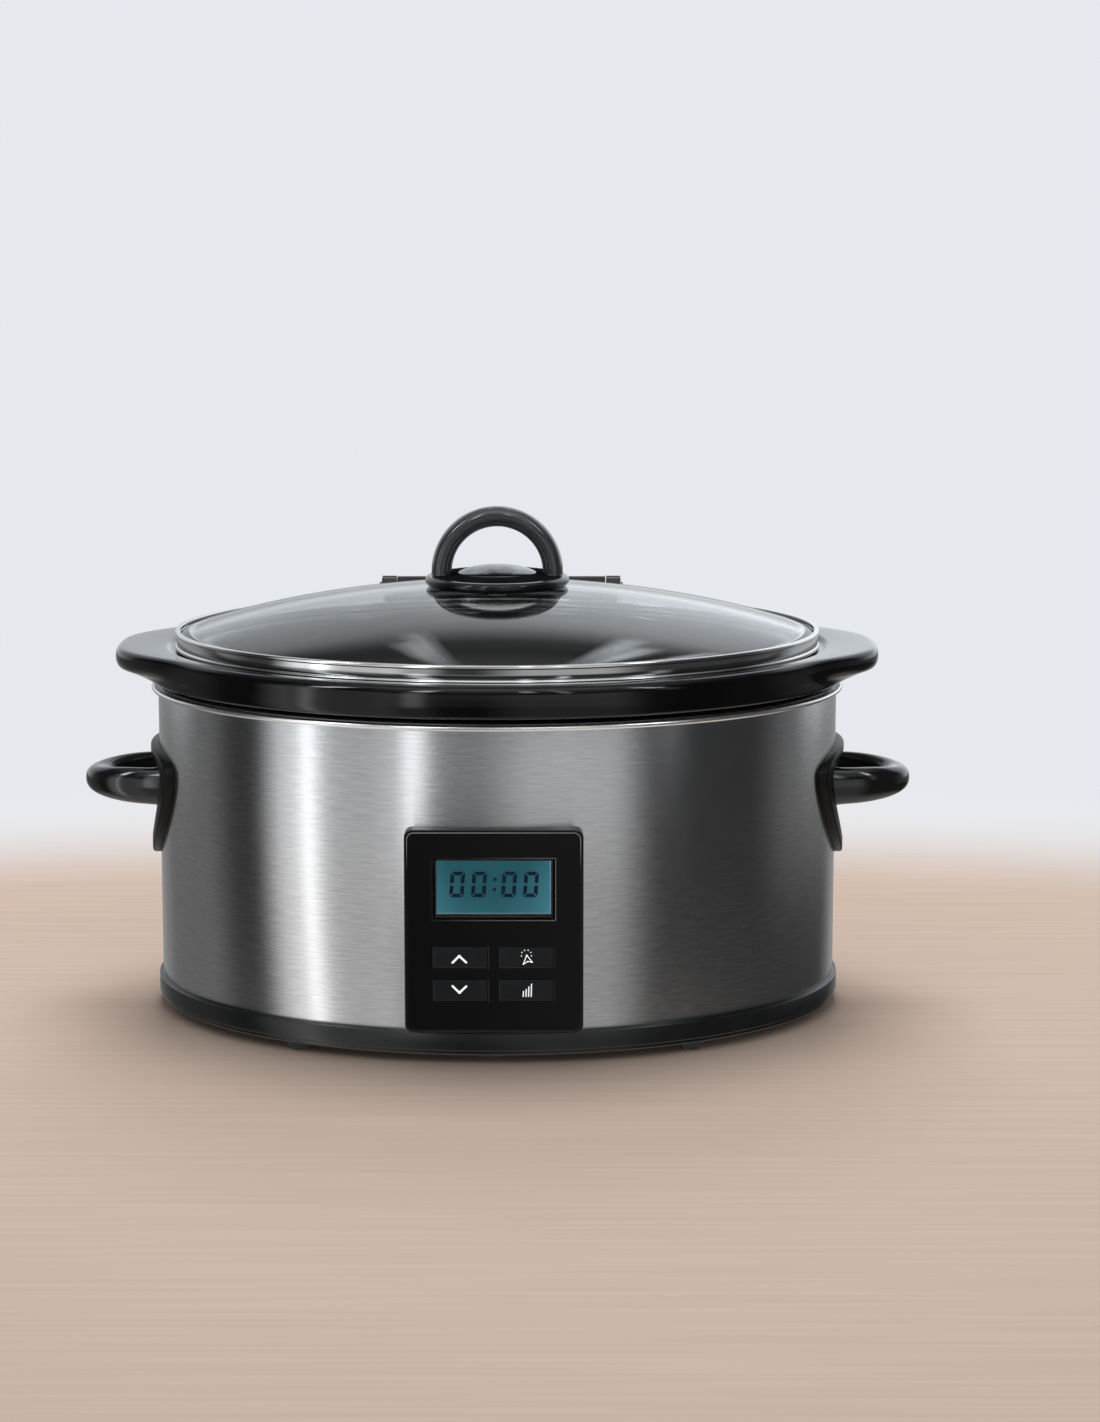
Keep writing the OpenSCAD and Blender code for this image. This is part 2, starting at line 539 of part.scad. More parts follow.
// One push button about its own centre: cap, retaining flange and stem.
module button(i) color(BLACK) at_pot() translate([buttons[i][0], 0, buttons[i][1]]) union() {
    box_at(-button_w / 2 + 0.4, button_w / 2 - 0.4, -panel_y - 0.3, -panel_y + 0.1,
        -button_h / 2 + 0.4, button_h / 2 - 0.4);
    box_at(-button_w / 2, button_w / 2, -panel_y, -lens_back + 0.8, -button_h / 2, button_h / 2);
    box_at(-button_w / 2 - 1, button_w / 2 + 1, -lens_back + 0.3, -lens_back + 1.2,
        -button_h / 2 - 1, button_h / 2 + 1);
    rod_y(3, -lens_back + 1, -board_front - 4 - button_travel - 0.3);
}
module button_up() button(0);
module button_mode() button(1);
module button_down() button(2);
module button_level() button(3);

// ---- Side handles ----
// Outline of the back plate in the YZ plane: flat top, oval foot.
module plate_outline() union() {
    difference() {
        translate([0, plate_zm]) scale([plate_y, plate_zm - plate_z0]) circle(r = 1);
        translate([-plate_y - 5, plate_zm]) square([2 * plate_y + 10, 80]);
    }
    translate([-plate_y, plate_zm - 0.01]) square([2 * plate_y, plate_z1 - 11 - plate_zm + 0.01]);
    translate([-plate_y + 11, plate_zm - 0.01]) square([2 * plate_y - 22, plate_z1 - plate_zm + 0.01]);
    for (s = [-1, 1]) translate([s * (plate_y - 11), plate_z1 - 11]) circle(r = 11);
}
module grip_section() union() {
    r = 4.6;
    translate([-grip_t / 2 + r, -grip_h / 2]) square([grip_t - 2 * r, grip_h]);
    translate([-grip_t / 2, -grip_h / 2 + r]) square([grip_t, grip_h - 2 * r]);
    for (x = [-1, 1], y = [-1, 1])
        translate([x * (grip_t / 2 - r), y * (grip_h / 2 - r)]) circle(r = r, $fn = 32);
}
module handle() {
    root_x = shell_a;                      // the grip's arms start inside the plate
    k = (handle_x - root_x) / (handle_y + grip_t / 2);
    difference() {
        union() {
            intersection() {
                difference() {
                    oval(shell_a + plate_t, shell_b + plate_t, tall, 0);
                    oval(shell_a + 0.05, shell_b + 0.05, tall + 20, -10);
                }
                translate([shell_a / 2, 0, 0]) rotate([90, 0, 90]) linear_extrude(height = 100) plate_outline();
            }
            difference() {
                translate([root_x, 0, handle_z]) scale([k, 1, 1])
                    rotate([0, 0, -90]) rotate_extrude(angle = 180) translate([handle_y, 0]) grip_section();
                oval(shell_a + 0.05, shell_b + 0.05, tall + 20, -10);
            }
        }
        for (y = [-handle_y, handle_y]) rod_x(handle_screw_d, shell_a - 27.5, shell_a + 12.5, y, handle_z);
    }
}
module right_handle() color(GLOSS) at_pot() handle();
module left_handle() color(GLOSS) at_pot() mirror([1, 0, 0]) handle();
module handle_screws() color(STEEL) at_pot() for (m = [0, 1]) mirror([m, 0, 0])
    for (y = [-handle_y, handle_y]) let (x = oval_x(shell_a - sheet_t, shell_b - sheet_t, handle_y + 4)) {
        rod_x(handle_screw_d - 0.1, x - 1, x + handle_screw_h - 3, y, handle_z);
        rod_x(8, x - 2.9, x - 0.1, y, handle_z);
    }

// ---- Hinge post at the back ----
module hinge_post() color(BLACK) at_pot() difference() {
    union() {
        translate([-ear_x1, 0, 0]) rotate([90, 0, 90]) linear_extrude(height = 2 * ear_x1)
            let (s = shell_b, z = shell_z1, y1 = hinge_y + ear_r)
                polygon([[s - 28.5, z - 56], [s + 4.5, z - 56], [s + 8.5, z - 52], [y1, z - 6], [y1, hinge_z - 9.5],
                    [hinge_y + 2.5, hinge_z - 9.5], [hinge_y + 2.5, z + 8], [lip_b + 1.5, z - 2], [s - 28.5, z - 2]]);
        for (x = [-ear_x1, ear_x0]) translate([x, 0, 0]) rotate([90, 0, 90]) linear_extrude(height = ear_t)
            union() {
                polygon([[lip_b + 1.5, shell_z1 - 3], [lip_b + 5.5, shell_z1 + 4], [hinge_y - 7.8, hinge_z - 1.5],
                    [hinge_y - 7.8, hinge_z], [hinge_y + ear_r, hinge_z], [hinge_y + ear_r, shell_z1 - 3]]);
                translate([hinge_y, hinge_z]) circle(r = ear_r);
            }
    }
    oval(shell_a + 0.05, shell_b + 0.05, tall, 0);
    rod_x(pin_hole_d, -80, 80, hinge_y, hinge_z);
    box_at(-80, 80, hinge_y - pin_hole_d / 2, hinge_y + pin_hole_d / 2, hinge_z, hinge_z + 20);
    for (x = [-post_screw_x, post_screw_x], z = post_z) rod_y(case_screw_d, shell_b - 18.5, shell_b + 7.5, x, z);
}
module hinge_screws() color(STEEL) at_pot() for (x = [-post_screw_x, post_screw_x], z = post_z)
    let (y = oval_y(shell_a - sheet_t, shell_b - sheet_t, post_screw_x + 3)) {
        rod_y(case_screw_d - 0.1, y - 2.5, shell_b + 6.5, x, z);
        rod_y(6, y - 3.2, y - 0.1, x, z);
    }

// ---- Crock ----
function oval_r(a, b, t) = 1 / sqrt(pow(cos(t) / a, 2) + pow(sin(t) / b, 2));
// The flange outline: an oval with a blunt wing at each side, its corners blended.
function wing_r(a, b, t) = let (p = oval_r(a + 3, b, t), q = a / max(abs(cos(t)), 0.3))
    pow(pow(p, -80) + pow(q, -80), -1 / 80);
function flange_r(wa, wb, oa, ob, t) = let (p = wing_r(wa, wb, t), q = oval_r(oa, ob, t))
    pow(pow(p, 60) + pow(q, 60), 1 / 60);
// Stations of the crock's section: [z, oval half width, oval half depth, wing half width, wing half depth].
// A wing half width of 0 means a plain oval.
crock_rings = [
    for (q = [[0, 30], [1, 22], [4, 17], [9, 14], [16, 12.6]])
        [crock_bottom + q[0], well_a - crock_in + 12.6 - q[1], well_b - crock_in + 12.6 - q[1], 0, 0],
    [crock_z - 3, well_a - 4, well_b - 4, 0, 0], [crock_z, well_a - 1, well_b - 1, 0, 0],
    [crock_z, shell_a - 6.5, shell_b - 6.5, 0, 0], [crock_z + 2.6, shell_a - 3, shell_b - 2.5, 0, 0],
    [crock_z + 3, lip_a, lip_b - 1.6, 0, 0], [crock_z + 4, lip_a + 1.2, lip_b - 0.4, 0, 0],
    // Each flange station: [drop below the top, lip in x, lip in y, wing in x, wing in y].
    for (q = [[12.2, -1, 0.1, 6.5, 39.5], [10.4, -0.4, 0, 1.6, 35], [7.6, 0, 0, 0.2, 31.3], [4.6, 1, 0.4, 0, 29.5],
        [2.4, 2.8, 1.6, 0.6, 29.8], [0.9, 5, 4, 1.6, 30.7], [0.2, 6.8, 7, 3, 32.1], [0, 8, 9, 5.5, 34.9]])
        [crock_top - q[0], lip_a - q[1], lip_b - q[2], wing_a - q[3], shell_b - q[4]],
    [crock_top - 0.1, lid_a + 4.3, lid_b + 4.3, 0, 0], [seat_z + 0.3, lid_a + 2.5, lid_b + 2.5, 0, 0],
    [seat_z, lid_a + 1.7, lid_b + 1.7, 0, 0],
    // Inside the mouth and down the wall, as distances inside the well.
    for (q = [[0, 7.4], [1, 9.6], [5, 11]]) [seat_z - q[0], well_a - q[1], well_b - q[1], 0, 0],
    for (q = [[24, -2.5], [14, 0], [9, 5.5], [7, 14.5]])
        [crock_bottom + q[0], well_a - crock_in - crock_wall - q[1], well_b - crock_in - crock_wall - q[1], 0, 0]];
function ring_r(s, t) = s[3] == 0 ? oval_r(s[1], s[2], t) : flange_r(s[3], s[4], s[1], s[2], t);
module crock() color(GLAZE) at_pot() skin(crock_rings, crock_n, crock_bottom, crock_bottom + 6.2);

// ---- Lid ----
module hinge_pin() color(CHROME) at_pot() union() {
    rod_x(pin_d, -ear_x1 - 1.6, ear_x1 + 1.6, hinge_y, hinge_z);
    for (s = [-1, 1]) rod_x(6.4, s < 0 ? -ear_x1 - 1.6 : ear_x1 + 0.4, s < 0 ? -ear_x1 - 0.4 : ear_x1 + 1.6,
        hinge_y, hinge_z);
}
// Steel band: a C-shaped section that wraps the glass edge.
module lid_rim() color(STEEL) at_pot() difference() {
    union() {
        oval(lid_a, lid_b, lid_z1 - lid_z0 - 1.3, lid_z0 + 0.4);
        oval(lid_a - 0.4, lid_b - 0.4, lid_z1 - lid_z0 - 0.4, lid_z0);
        oval(lid_a - 1.2, lid_b - 1.2, lid_z1 - lid_z0, lid_z0);
    }
    oval(lid_a - 5.4, lid_b - 5.4, 40, lid_z0 - e);
    oval(lid_a - 1.1, lid_b - 1.1, lid_z1 - lid_z0 - 1.9, lid_z0 + 1);
    for (x = rivet_x) rod_y(case_screw_d, lid_b - 30, lid_b + 20, x, rivet_z);
}
function dome_out(r) = dome_z + dome_h * pow(max(0, 1 - r * r), 0.93);
// Stations of the dome: the outer face from the top down, the edge, then the inner face.
dome_rings = concat(
    [for (i = [1:9]) let (r = sin(10 * i)) [dome_out(r), r * dome_a, r * dome_b, 0, 0]],
    [[dome_z - 0.2, glass_edge_a, glass_edge_b, 0, 0], [dome_z - glass_t + 0.4, glass_edge_a, glass_edge_b, 0, 0],
     [dome_z - glass_t, dome_a - 4, dome_b - 4, 0, 0]],
    [for (i = [8:-1:1]) let (r = sin(10 * i)) [dome_out(r) - glass_t, r * (dome_a - 5), r * (dome_b - 5), 0, 0]]);
module lid_glass() color(GLASS) at_pot() difference() {
    skin([for (i = [len(dome_rings) - 1:-1:0]) dome_rings[i]], oval_n, dome_out(0) - glass_t, dome_out(0));
    rod_z(knob_screw_d + 3, dome_z, dome_top + 20);
}
module lid_seal() color(RUBBER) at_pot()
    oval_tube(lid_a - 0.8, lid_b - 0.8, 3.6, lid_z0 - seat_z - lid_gap, seat_z + lid_gap);
module lid_bracket() color(BLACK) at_pot() difference() {
    union() {
        intersection() {
            difference() {
                oval(lid_a + 3.4, lid_b + 3.4, 9.2, lid_z1 - 5.9);
                oval(lid_a + 0.1, lid_b + 0.1, 20, lid_z1 - 13);
            }
            box_at(-arm_x, arm_x, lid_b - 50, hinge_y - 8, lid_z1 - 8, lid_z1 + 7);
        }
        difference() {
            box_at(-arm_x, arm_x, lid_b - 20, hinge_y, lid_z1, lid_z1 + 3.3);
            oval(lid_a - 2.6, lid_b - 2.6, 20, lid_z1 - 8);
        }
        rod_x(2 * barrel_r, -barrel_x, barrel_x, hinge_y, hinge_z);
    }
    rod_x(pin_hole_d, -80, 80, hinge_y, hinge_z);
    for (x = rivet_x) rod_y(case_screw_d, lid_b - 30, lid_b + 20, x, rivet_z);
}
module bracket_rivets() color(STEEL) at_pot() for (x = rivet_x)
    let (y = oval_y(lid_a, lid_b, x), head = oval_y(lid_a + 3.4, lid_b + 3.4, max(0, abs(x) - 2.8)) + 0.05) {
        rod_y(case_screw_d - 0.1, y - 1.2, head + 0.7, x, rivet_z);
        rod_y(5.6, head, head + 1.4, x, rivet_z);
    }
module knob_base() color(GLOSS) at_pot() difference() {
    translate([0, 0, knob_z]) rotate_extrude() polygon([[0, 0], [24, 0], [31, -0.3], [knob_r - 2.4, 0.3],
        [knob_r - 0.5, 1.2], [knob_r, 2.2], [knob_r - 0.4, 3.3], [knob_r - 1.3, 3.7], [knob_r - 2.2, 3.3],
        [knob_r - 2.8, 1.9], [21, 1.8], [0, 1.8]]);
    rod_z(knob_screw_d + 0.2, knob_z - 20, knob_z + 20);
}
module knob_arch() color(GLOSS) at_pot() difference() {
    c = 2.6;
    union() {
        translate([0, 0, arch_z]) rotate([90, 0, 0]) rotate_extrude(angle = 180)
            polygon([[arch_r - arch_w, -arch_d / 2 + c], [arch_r - arch_w + c, -arch_d / 2],
                [arch_r - c, -arch_d / 2], [arch_r, -arch_d / 2 + c], [arch_r, arch_d / 2 - c],
                [arch_r - c, arch_d / 2], [arch_r - arch_w + c, arch_d / 2], [arch_r - arch_w, arch_d / 2 - c]]);
        for (s = [-1, 1]) translate([s * (arch_r - arch_w / 2), 0, knob_z + 2]) linear_extrude(height = arch_leg)
            polygon([[-arch_w / 2, -arch_d / 2 + c], [-arch_w / 2 + c, -arch_d / 2], [arch_w / 2 - c, -arch_d / 2],
                [arch_w / 2, -arch_d / 2 + c], [arch_w / 2, arch_d / 2 - c], [arch_w / 2 - c, arch_d / 2],
                [-arch_w / 2 + c, arch_d / 2], [-arch_w / 2, arch_d / 2 - c]]);
    }
}
module knob_disc() color(CHROME) at_pot() translate([0, 0, knob_z + 1.8]) rotate_extrude()
    polygon(concat([[0, 0], [20.4, 0]], [for (i = [0:12]) let (t = i * 7.5) [20.4 * cos(t), 0.8 + 2.6 * sin(t)]]));
module knob_washer() color(RUBBER) at_pot() difference() {
    rod_z(26, dome_top + 0.02, knob_z);
    rod_z(knob_screw_d + 0.2, knob_z - 20, knob_z + 20);
}
module knob_screw() color(STEEL) at_pot() union() {
    rod_z(knob_screw_d, glass_in - 3.5, knob_z + 1.6);
    rod_z(16, glass_in - 2.9, glass_in - 0.3);
    rod_z(9, glass_in - 5.1, glass_in - 2.5);
}

outer_shell();
steel_rim();
heating_well();
heating_band();
band_clamp();
band_screw();
well_insulation();
base_ring();
base_plate();
base_screws();
feet();
tie_posts();
heat_shield();
shield_spacers();
temp_sensor();
sensor_spring();
thermal_fuse();
power_board();
board_standoffs();
transformer();
relay();
capacitor();
terminal_block();
heater_leads();
cord_inlet();
panel_housing();
panel_lens();
lcd_window();
lcd_module();
lcd_backlight();
control_board();
board_chips();
tact_switches();
ribbon_cable();
button_up();
button_down();
button_mode();
button_level();
left_handle();
right_handle();
handle_screws();
hinge_post();
hinge_screws();
crock();
hinge_pin();
lid_rim();
lid_glass();
lid_seal();
lid_bracket();
bracket_rivets();
knob_base();
knob_arch();
knob_disc();
knob_washer();
knob_screw();
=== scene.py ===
"""Dresses the oval slow cooker: detailed visible pieces, finishes, studio and camera.

Metres, +Z up, front towards -Y. Outlines and stations are given in millimetres and scaled by MM.
"""
from math import atan2, copysign, cos, hypot, pi, radians, sin, sqrt, tan

import bmesh
import bpy
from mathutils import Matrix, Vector

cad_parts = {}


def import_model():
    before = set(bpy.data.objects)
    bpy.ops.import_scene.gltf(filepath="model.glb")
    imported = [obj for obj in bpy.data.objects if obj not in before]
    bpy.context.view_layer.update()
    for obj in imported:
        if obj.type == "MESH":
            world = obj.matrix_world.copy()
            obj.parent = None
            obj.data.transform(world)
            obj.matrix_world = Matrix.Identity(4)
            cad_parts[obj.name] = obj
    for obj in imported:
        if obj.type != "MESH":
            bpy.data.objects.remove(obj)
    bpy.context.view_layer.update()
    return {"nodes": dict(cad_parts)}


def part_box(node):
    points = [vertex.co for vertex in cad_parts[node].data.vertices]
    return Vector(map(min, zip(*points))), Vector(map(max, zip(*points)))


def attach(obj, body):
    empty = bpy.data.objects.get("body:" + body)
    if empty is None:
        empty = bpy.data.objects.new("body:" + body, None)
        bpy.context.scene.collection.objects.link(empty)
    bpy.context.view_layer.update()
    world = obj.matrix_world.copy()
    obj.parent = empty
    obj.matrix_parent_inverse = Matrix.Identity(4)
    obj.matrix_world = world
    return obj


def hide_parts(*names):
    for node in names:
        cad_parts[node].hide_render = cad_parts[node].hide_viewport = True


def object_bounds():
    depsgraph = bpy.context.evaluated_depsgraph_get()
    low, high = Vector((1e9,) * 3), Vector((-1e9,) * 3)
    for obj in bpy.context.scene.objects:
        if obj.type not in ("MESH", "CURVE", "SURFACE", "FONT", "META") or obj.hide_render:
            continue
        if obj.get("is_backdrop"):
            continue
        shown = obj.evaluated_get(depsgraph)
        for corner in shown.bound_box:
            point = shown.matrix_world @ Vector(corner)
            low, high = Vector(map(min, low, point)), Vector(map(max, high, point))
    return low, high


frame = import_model()

MM = 0.001
AROUND = 288                     # points round an oval
SHEET = 0.8                      # thickness of the shell's sheet, in millimetres
SQUARED = 0.88                   # power that makes a round section a little squarer
BUTTONS = ("up", "down", "mode", "level")
NODES = frame["nodes"]


# ---- Sizes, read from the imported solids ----
def half_sizes(node):
    low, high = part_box(node)
    return (high.x - low.x) / 2, (high.y - low.y) / 2


def oval_y(a, b, x):
    """Half depth of an oval at a distance x from its middle."""
    return b * sqrt(max(0.0, 1 - (x / a) ** 2))


shell_low, shell_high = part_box("outer_shell")
shell_a, shell_b = half_sizes("outer_shell")
body_y = (shell_low.y + shell_high.y) / 2          # middle of the oval body
a_mm, b_mm, z0_mm, z1_mm = (v / MM for v in (shell_a, shell_b, shell_low.z, shell_high.z))
rim_low, rim_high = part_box("steel_rim")
ring_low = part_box("base_ring")[0]
crock_low, crock_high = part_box("crock")
lid_low, lid_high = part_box("lid_rim")
lid_a, lid_b = half_sizes("lid_rim")
glass_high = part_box("lid_glass")[1]
saucer_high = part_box("knob_base")[1]
arch_low, arch_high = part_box("knob_arch")
disc_low, disc_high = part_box("knob_disc")
panel_low, panel_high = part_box("panel_housing")
lens_low, lens_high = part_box("panel_lens")
window_low, window_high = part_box("lcd_window")
display_low, display_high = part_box("lcd_module")
handle_low, handle_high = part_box("right_handle")


# ---- Mesh making ----
def in_scene(name, data):
    thing = bpy.data.objects.new(name, data)
    bpy.context.scene.collection.objects.link(thing)
    return thing


def applied(thing):
    """The mesh of an object with its modifiers applied."""
    return bpy.data.meshes.new_from_object(thing.evaluated_get(bpy.context.evaluated_depsgraph_get()))


def add_piece(name, mesh, material, body, stands_for=(), angle=35):
    """Puts a mesh in the scene as one piece that rides on a body. Edges sharper than the angle stay crisp."""
    mesh.name = name
    mesh.materials.clear()
    mesh.materials.append(material)
    mesh.polygons.foreach_set("use_smooth", [True] * len(mesh.polygons))
    mesh.set_sharp_from_angle(angle=radians(angle))
    piece = in_scene(name, mesh)
    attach(piece, body)
    if stands_for:
        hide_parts(*stands_for)


def plain_mesh(verts, faces):
    mesh = bpy.data.meshes.new("made")
    mesh.from_pydata([tuple(v) for v in verts], [], [tuple(f) for f in faces])
    return mesh


def tidied(mesh, merge=0.0, outward=True):
    """The mesh with doubles merged and its faces turned outwards."""
    work = bmesh.new()
    work.from_mesh(mesh)
    if merge:
        bmesh.ops.remove_doubles(work, verts=work.verts, dist=merge)
    if outward:
        bmesh.ops.recalc_face_normals(work, faces=work.faces)
    work.to_mesh(mesh)
    work.free()
    return mesh


def clean_mesh(verts, faces, merge=1e-7, outward=True):
    return tidied(plain_mesh(verts, faces), merge, outward)


def skin_faces(rows, count, closed):
    """Quads over stacked rings of points; rings close on themselves, and so may the stack."""
    faces = []
    for k in range(rows if closed else rows - 1):
        m = (k + 1) % rows
        for i in range(count):
            j = (i + 1) % count
            faces.append((k * count + i, k * count + j, m * count + j, m * count + i))
    return faces


def skin(rings, closed=False, marked=False):
    """A skin over rings of points. An open stack is capped by a fan at each end. A marked one gets a UV map
    named along, in metres round the rings and up the stack."""
    count, rows = len(rings[0]), len(rings)
    verts = [Vector(p) for ring in rings for p in ring]
    faces = skin_faces(rows, count, closed)
    if not closed:
        for ring, k in ((rings[0], 0), (rings[-1], rows - 1)):
            verts.append(sum((Vector(p) for p in ring), Vector()) / count)
            faces += [(k * count + i, k * count + (i + 1) % count, len(verts) - 1) for i in range(count)]
    if not marked:
        return clean_mesh(verts, faces)
    mesh = plain_mesh(verts, faces)
    widest = max(rings, key=lambda ring: max(p[0] for p in ring))
    round_at, up_at = [0.0], [0.0]
    for i in range(count):
        round_at.append(round_at[-1] + (Vector(widest[(i + 1) % count]) - Vector(widest[i])).length)
    for k in range(rows):
        up_at.append(up_at[-1] + (Vector(rings[(k + 1) % rows][0]) - Vector(rings[k][0])).length)
    along = mesh.uv_layers.new(name="along")
    for face in mesh.polygons:
        k, i = divmod(face.index, count)
        if k < (rows if closed else rows - 1):
            for loop, (di, dk) in zip(face.loop_indices, ((0, 0), (1, 0), (1, 1), (0, 1))):
                along.data[loop].uv = (round_at[i + di], up_at[k + dk])
    return tidied(mesh)


def rounded(corners, steps=4, closed=True):
    """An outline's (u, v) points from its corners (u, v, radius), each of them rounded; all in millimetres."""
    found, n = [], len(corners)
    for i, (u, v, r) in enumerate(corners):
        here = Vector((u, v))
        if r <= 0 or (not closed and i in (0, n - 1)):
            found.append(here)
            continue
        back, ahead = Vector(corners[i - 1][:2]) - here, Vector(corners[(i + 1) % n][:2]) - here
        half = back.angle(ahead) / 2
        if half > radians(89.5):                   # as good as straight
            found += [here] * (steps + 1)
            continue
        cut = min(r / tan(half), 0.49 * back.length, 0.49 * ahead.length)
        r = cut * tan(half)
        back.normalize()
        ahead.normalize()
        middle = here + (back + ahead).normalized() * (r / sin(half))
        p, q = here + back * cut - middle, here + ahead * cut - middle
        start = atan2(p.y, p.x)
        turn = (atan2(q.y, q.x) - start + pi) % (2 * pi) - pi
        for k in range(steps + 1):
            t = start + turn * k / steps
            found.append(middle + Vector((cos(t), sin(t))) * r)
    return found


def oval_ring(a, b, z, count=AROUND):
    return [(a * cos(2 * pi * i / count), body_y + b * sin(2 * pi * i / count), z) for i in range(count)]


def oval_hoop(a, b, corners, marked=False, steps=4):
    """A hoop round the body from its section's corners: (outside the oval a by b, height, radius), in mm."""
    return skin([oval_ring(a + p.x * MM, b + p.x * MM, p.y * MM) for p in rounded(corners, steps)],
                closed=True, marked=marked)


def turned(profile, count=96):
    """A turned shape about the knob's axis from (radius, height) points in millimetres, from pole to pole."""
    rings = [oval_ring(r * MM, r * MM, z * MM, count) for r, z in profile]
    return clean_mesh([p for ring in rings for p in ring], skin_faces(len(rings), count, False))


def signed(value, power):
    """A power that keeps its number's sign."""
    return copysign(abs(value) ** power, value)


def squared_section(count, u, v):
    """Points of a round section, a little squared, from its half sizes."""
    turns = [2 * pi * k / count for k in range(count)]
    return [Vector((signed(cos(t), SQUARED) * u, signed(sin(t), SQUARED) * v)) for t in turns]


def softened(node, bevel, pick=None, angle=32):
    """A merged copy of a CAD node's mesh, its chosen sharp outer edges rounded by a bevel in millimetres."""
    source = NODES[node].data
    mesh = clean_mesh([v.co for v in source.vertices], [p.vertices for p in source.polygons], 1e-6, False)
    if bevel:
        work = bmesh.new()
        work.from_mesh(mesh)
        bmesh.ops.dissolve_limit(work, angle_limit=radians(0.6), verts=work.verts, edges=work.edges)
        chosen = [e for e in work.edges if len(e.link_faces) == 2
                  and e.calc_face_angle_signed(0) > radians(angle) and (pick is None or pick(e))]
        bmesh.ops.bevel(work, geom=chosen, offset=bevel * MM, offset_type="OFFSET", segments=2, profile=0.5,
                        affect="EDGES", clamp_overlap=True)
        bmesh.ops.triangulate(work, faces=[f for f in work.faces if len(f.verts) > 4])
        work.to_mesh(mesh)
        work.free()
    return mesh


def face_prints(shapes, y, thick=0.04 * MM):
    """Flat prints on a face that looks to the front, from outlines of (x, z) in metres; y is that face."""
    verts, faces = [], []
    for shape in shapes:
        n, s = len(shape), len(verts)
        verts += [(x, y - thick, z) for x, z in shape] + [(x, y, z) for x, z in shape]
        faces += [tuple(range(s, s + n)), tuple(range(s + 2 * n - 1, s + n - 1, -1))]
        faces += [(s + i, s + n + i, s + n + (i + 1) % n, s + (i + 1) % n) for i in range(n)]
    return clean_mesh(verts, faces, 1e-8)


def stroke(points, width):
    """Outlines, in metres, of a stroke with round ends along (x, z) points, in millimetres like its width."""
    shapes, ends = [], [pi / 2 + pi * k / 6 for k in range(7)]
    for (x0, z0), (x1, z1) in zip(points, points[1:]):
        t = atan2(z1 - z0, x1 - x0)
        shapes.append([((x + side * cos(t + q) * width / 2) * MM, (z + side * sin(t + q) * width / 2) * MM)
                       for x, z, side in ((x0, z0, 1), (x1, z1, -1)) for q in ends])
    return shapes


# ---- Node trees ----
def operator(operation, swapped=False):
    def work_out(self, other=0.0):
        a, b = (other, self) if swapped else (self, other)
        return made(self.tree, "ShaderNodeMath", {0: a, 1: b}, operation=operation)
    return work_out


class Value:
    """What a node gives out, to be worked with like a number; a key picks another output of the node."""
    __add__ = operator("ADD")
    __sub__, __rsub__ = operator("SUBTRACT"), operator("SUBTRACT", True)
    __mul__, __truediv__ = operator("MULTIPLY"), operator("DIVIDE")
    __lt__, __gt__ = operator("LESS_THAN"), operator("GREATER_THAN")
    root, size, power, larger = operator("SQRT"), operator("ABSOLUTE"), operator("POWER"), operator("MAXIMUM")

    def __init__(self, socket):
        self.socket, self.node, self.tree = socket, socket.node, socket.id_data

    def __getitem__(self, key):
        return Value(self.node.outputs[key])


def made(tree, kind, inputs=None, **settings):
    """Adds a node and returns its first output. An input given as a Value is linked, and any other is set."""
    node = tree.nodes.new(kind)
    for key, value in settings.items():
        setattr(node, key, value)
    for key, value in (inputs or {}).items():
        if isinstance(value, Value):
            link(value, node, key)
        else:
            node.inputs[key].default_value = value
    return Value(node.outputs[0])


def link(value, node, key):
    value.tree.links.new(value.socket, node.inputs[key])


def axes(place):
    split = made(place.tree, "ShaderNodeSeparateXYZ", {0: place})
    return [split[i] for i in range(3)]


# ---- Geometry Nodes: shapes that repeat, grown on their places ----
def geometry_tree(name, numbers):
    """A tree that takes places, a turn and named numbers. Returns its first input."""
    tree = bpy.data.node_groups.new(name, "GeometryNodeTree")
    tree.interface.new_socket("Places", in_out="INPUT", socket_type="NodeSocketGeometry")
    tree.interface.new_socket("Turn", in_out="INPUT", socket_type="NodeSocketRotation")
    for label, value in numbers.items():
        tree.interface.new_socket(label, in_out="INPUT", socket_type="NodeSocketFloat").default_value = value
    tree.interface.new_socket("Shape", in_out="OUTPUT", socket_type="NodeSocketGeometry")
    return Value(tree.nodes.new("NodeGroupInput").outputs[0])


def planted(given, shape):
    """Ends a tree: the shape stands turned on each place, as real mesh with a material."""
    tree = given.tree
    copies = made(tree, "GeometryNodeInstanceOnPoints", {"Points": given["Places"], "Instance": shape,
                                                         "Rotation": given["Turn"]})
    real = made(tree, "GeometryNodeRealizeInstances", {"Geometry": copies})
    dressed = made(tree, "GeometryNodeSetMaterial", {"Geometry": real})
    link(dressed, tree.nodes.new("NodeGroupOutput"), "Shape")
    return tree


def grown(name, tree, places, values, material, body, stands_for):
    """Runs a tree on a set of points and keeps its result as one plain mesh piece."""
    holder = in_scene(name + "_places", plain_mesh(places, []))
    grow = holder.modifiers.new("grow", "NODES")
    grow.node_group = tree
    keys = {s.name: s.identifier for s in tree.interface.items_tree if s.in_out == "INPUT"}
    for label, value in values.items():
        grow[keys[label]] = value
    for node in tree.nodes:
        if node.bl_idname == "GeometryNodeSetMaterial":
            node.inputs["Material"].default_value = material
    mesh = applied(holder)
    bpy.data.objects.remove(holder)
    add_piece(name, mesh, material, body, stands_for)


def moved(shape, z):
    lift = made(shape.tree, "ShaderNodeCombineXYZ", {"Z": z})
    return made(shape.tree, "GeometryNodeTransform", {"Geometry": shape, "Translation": lift})


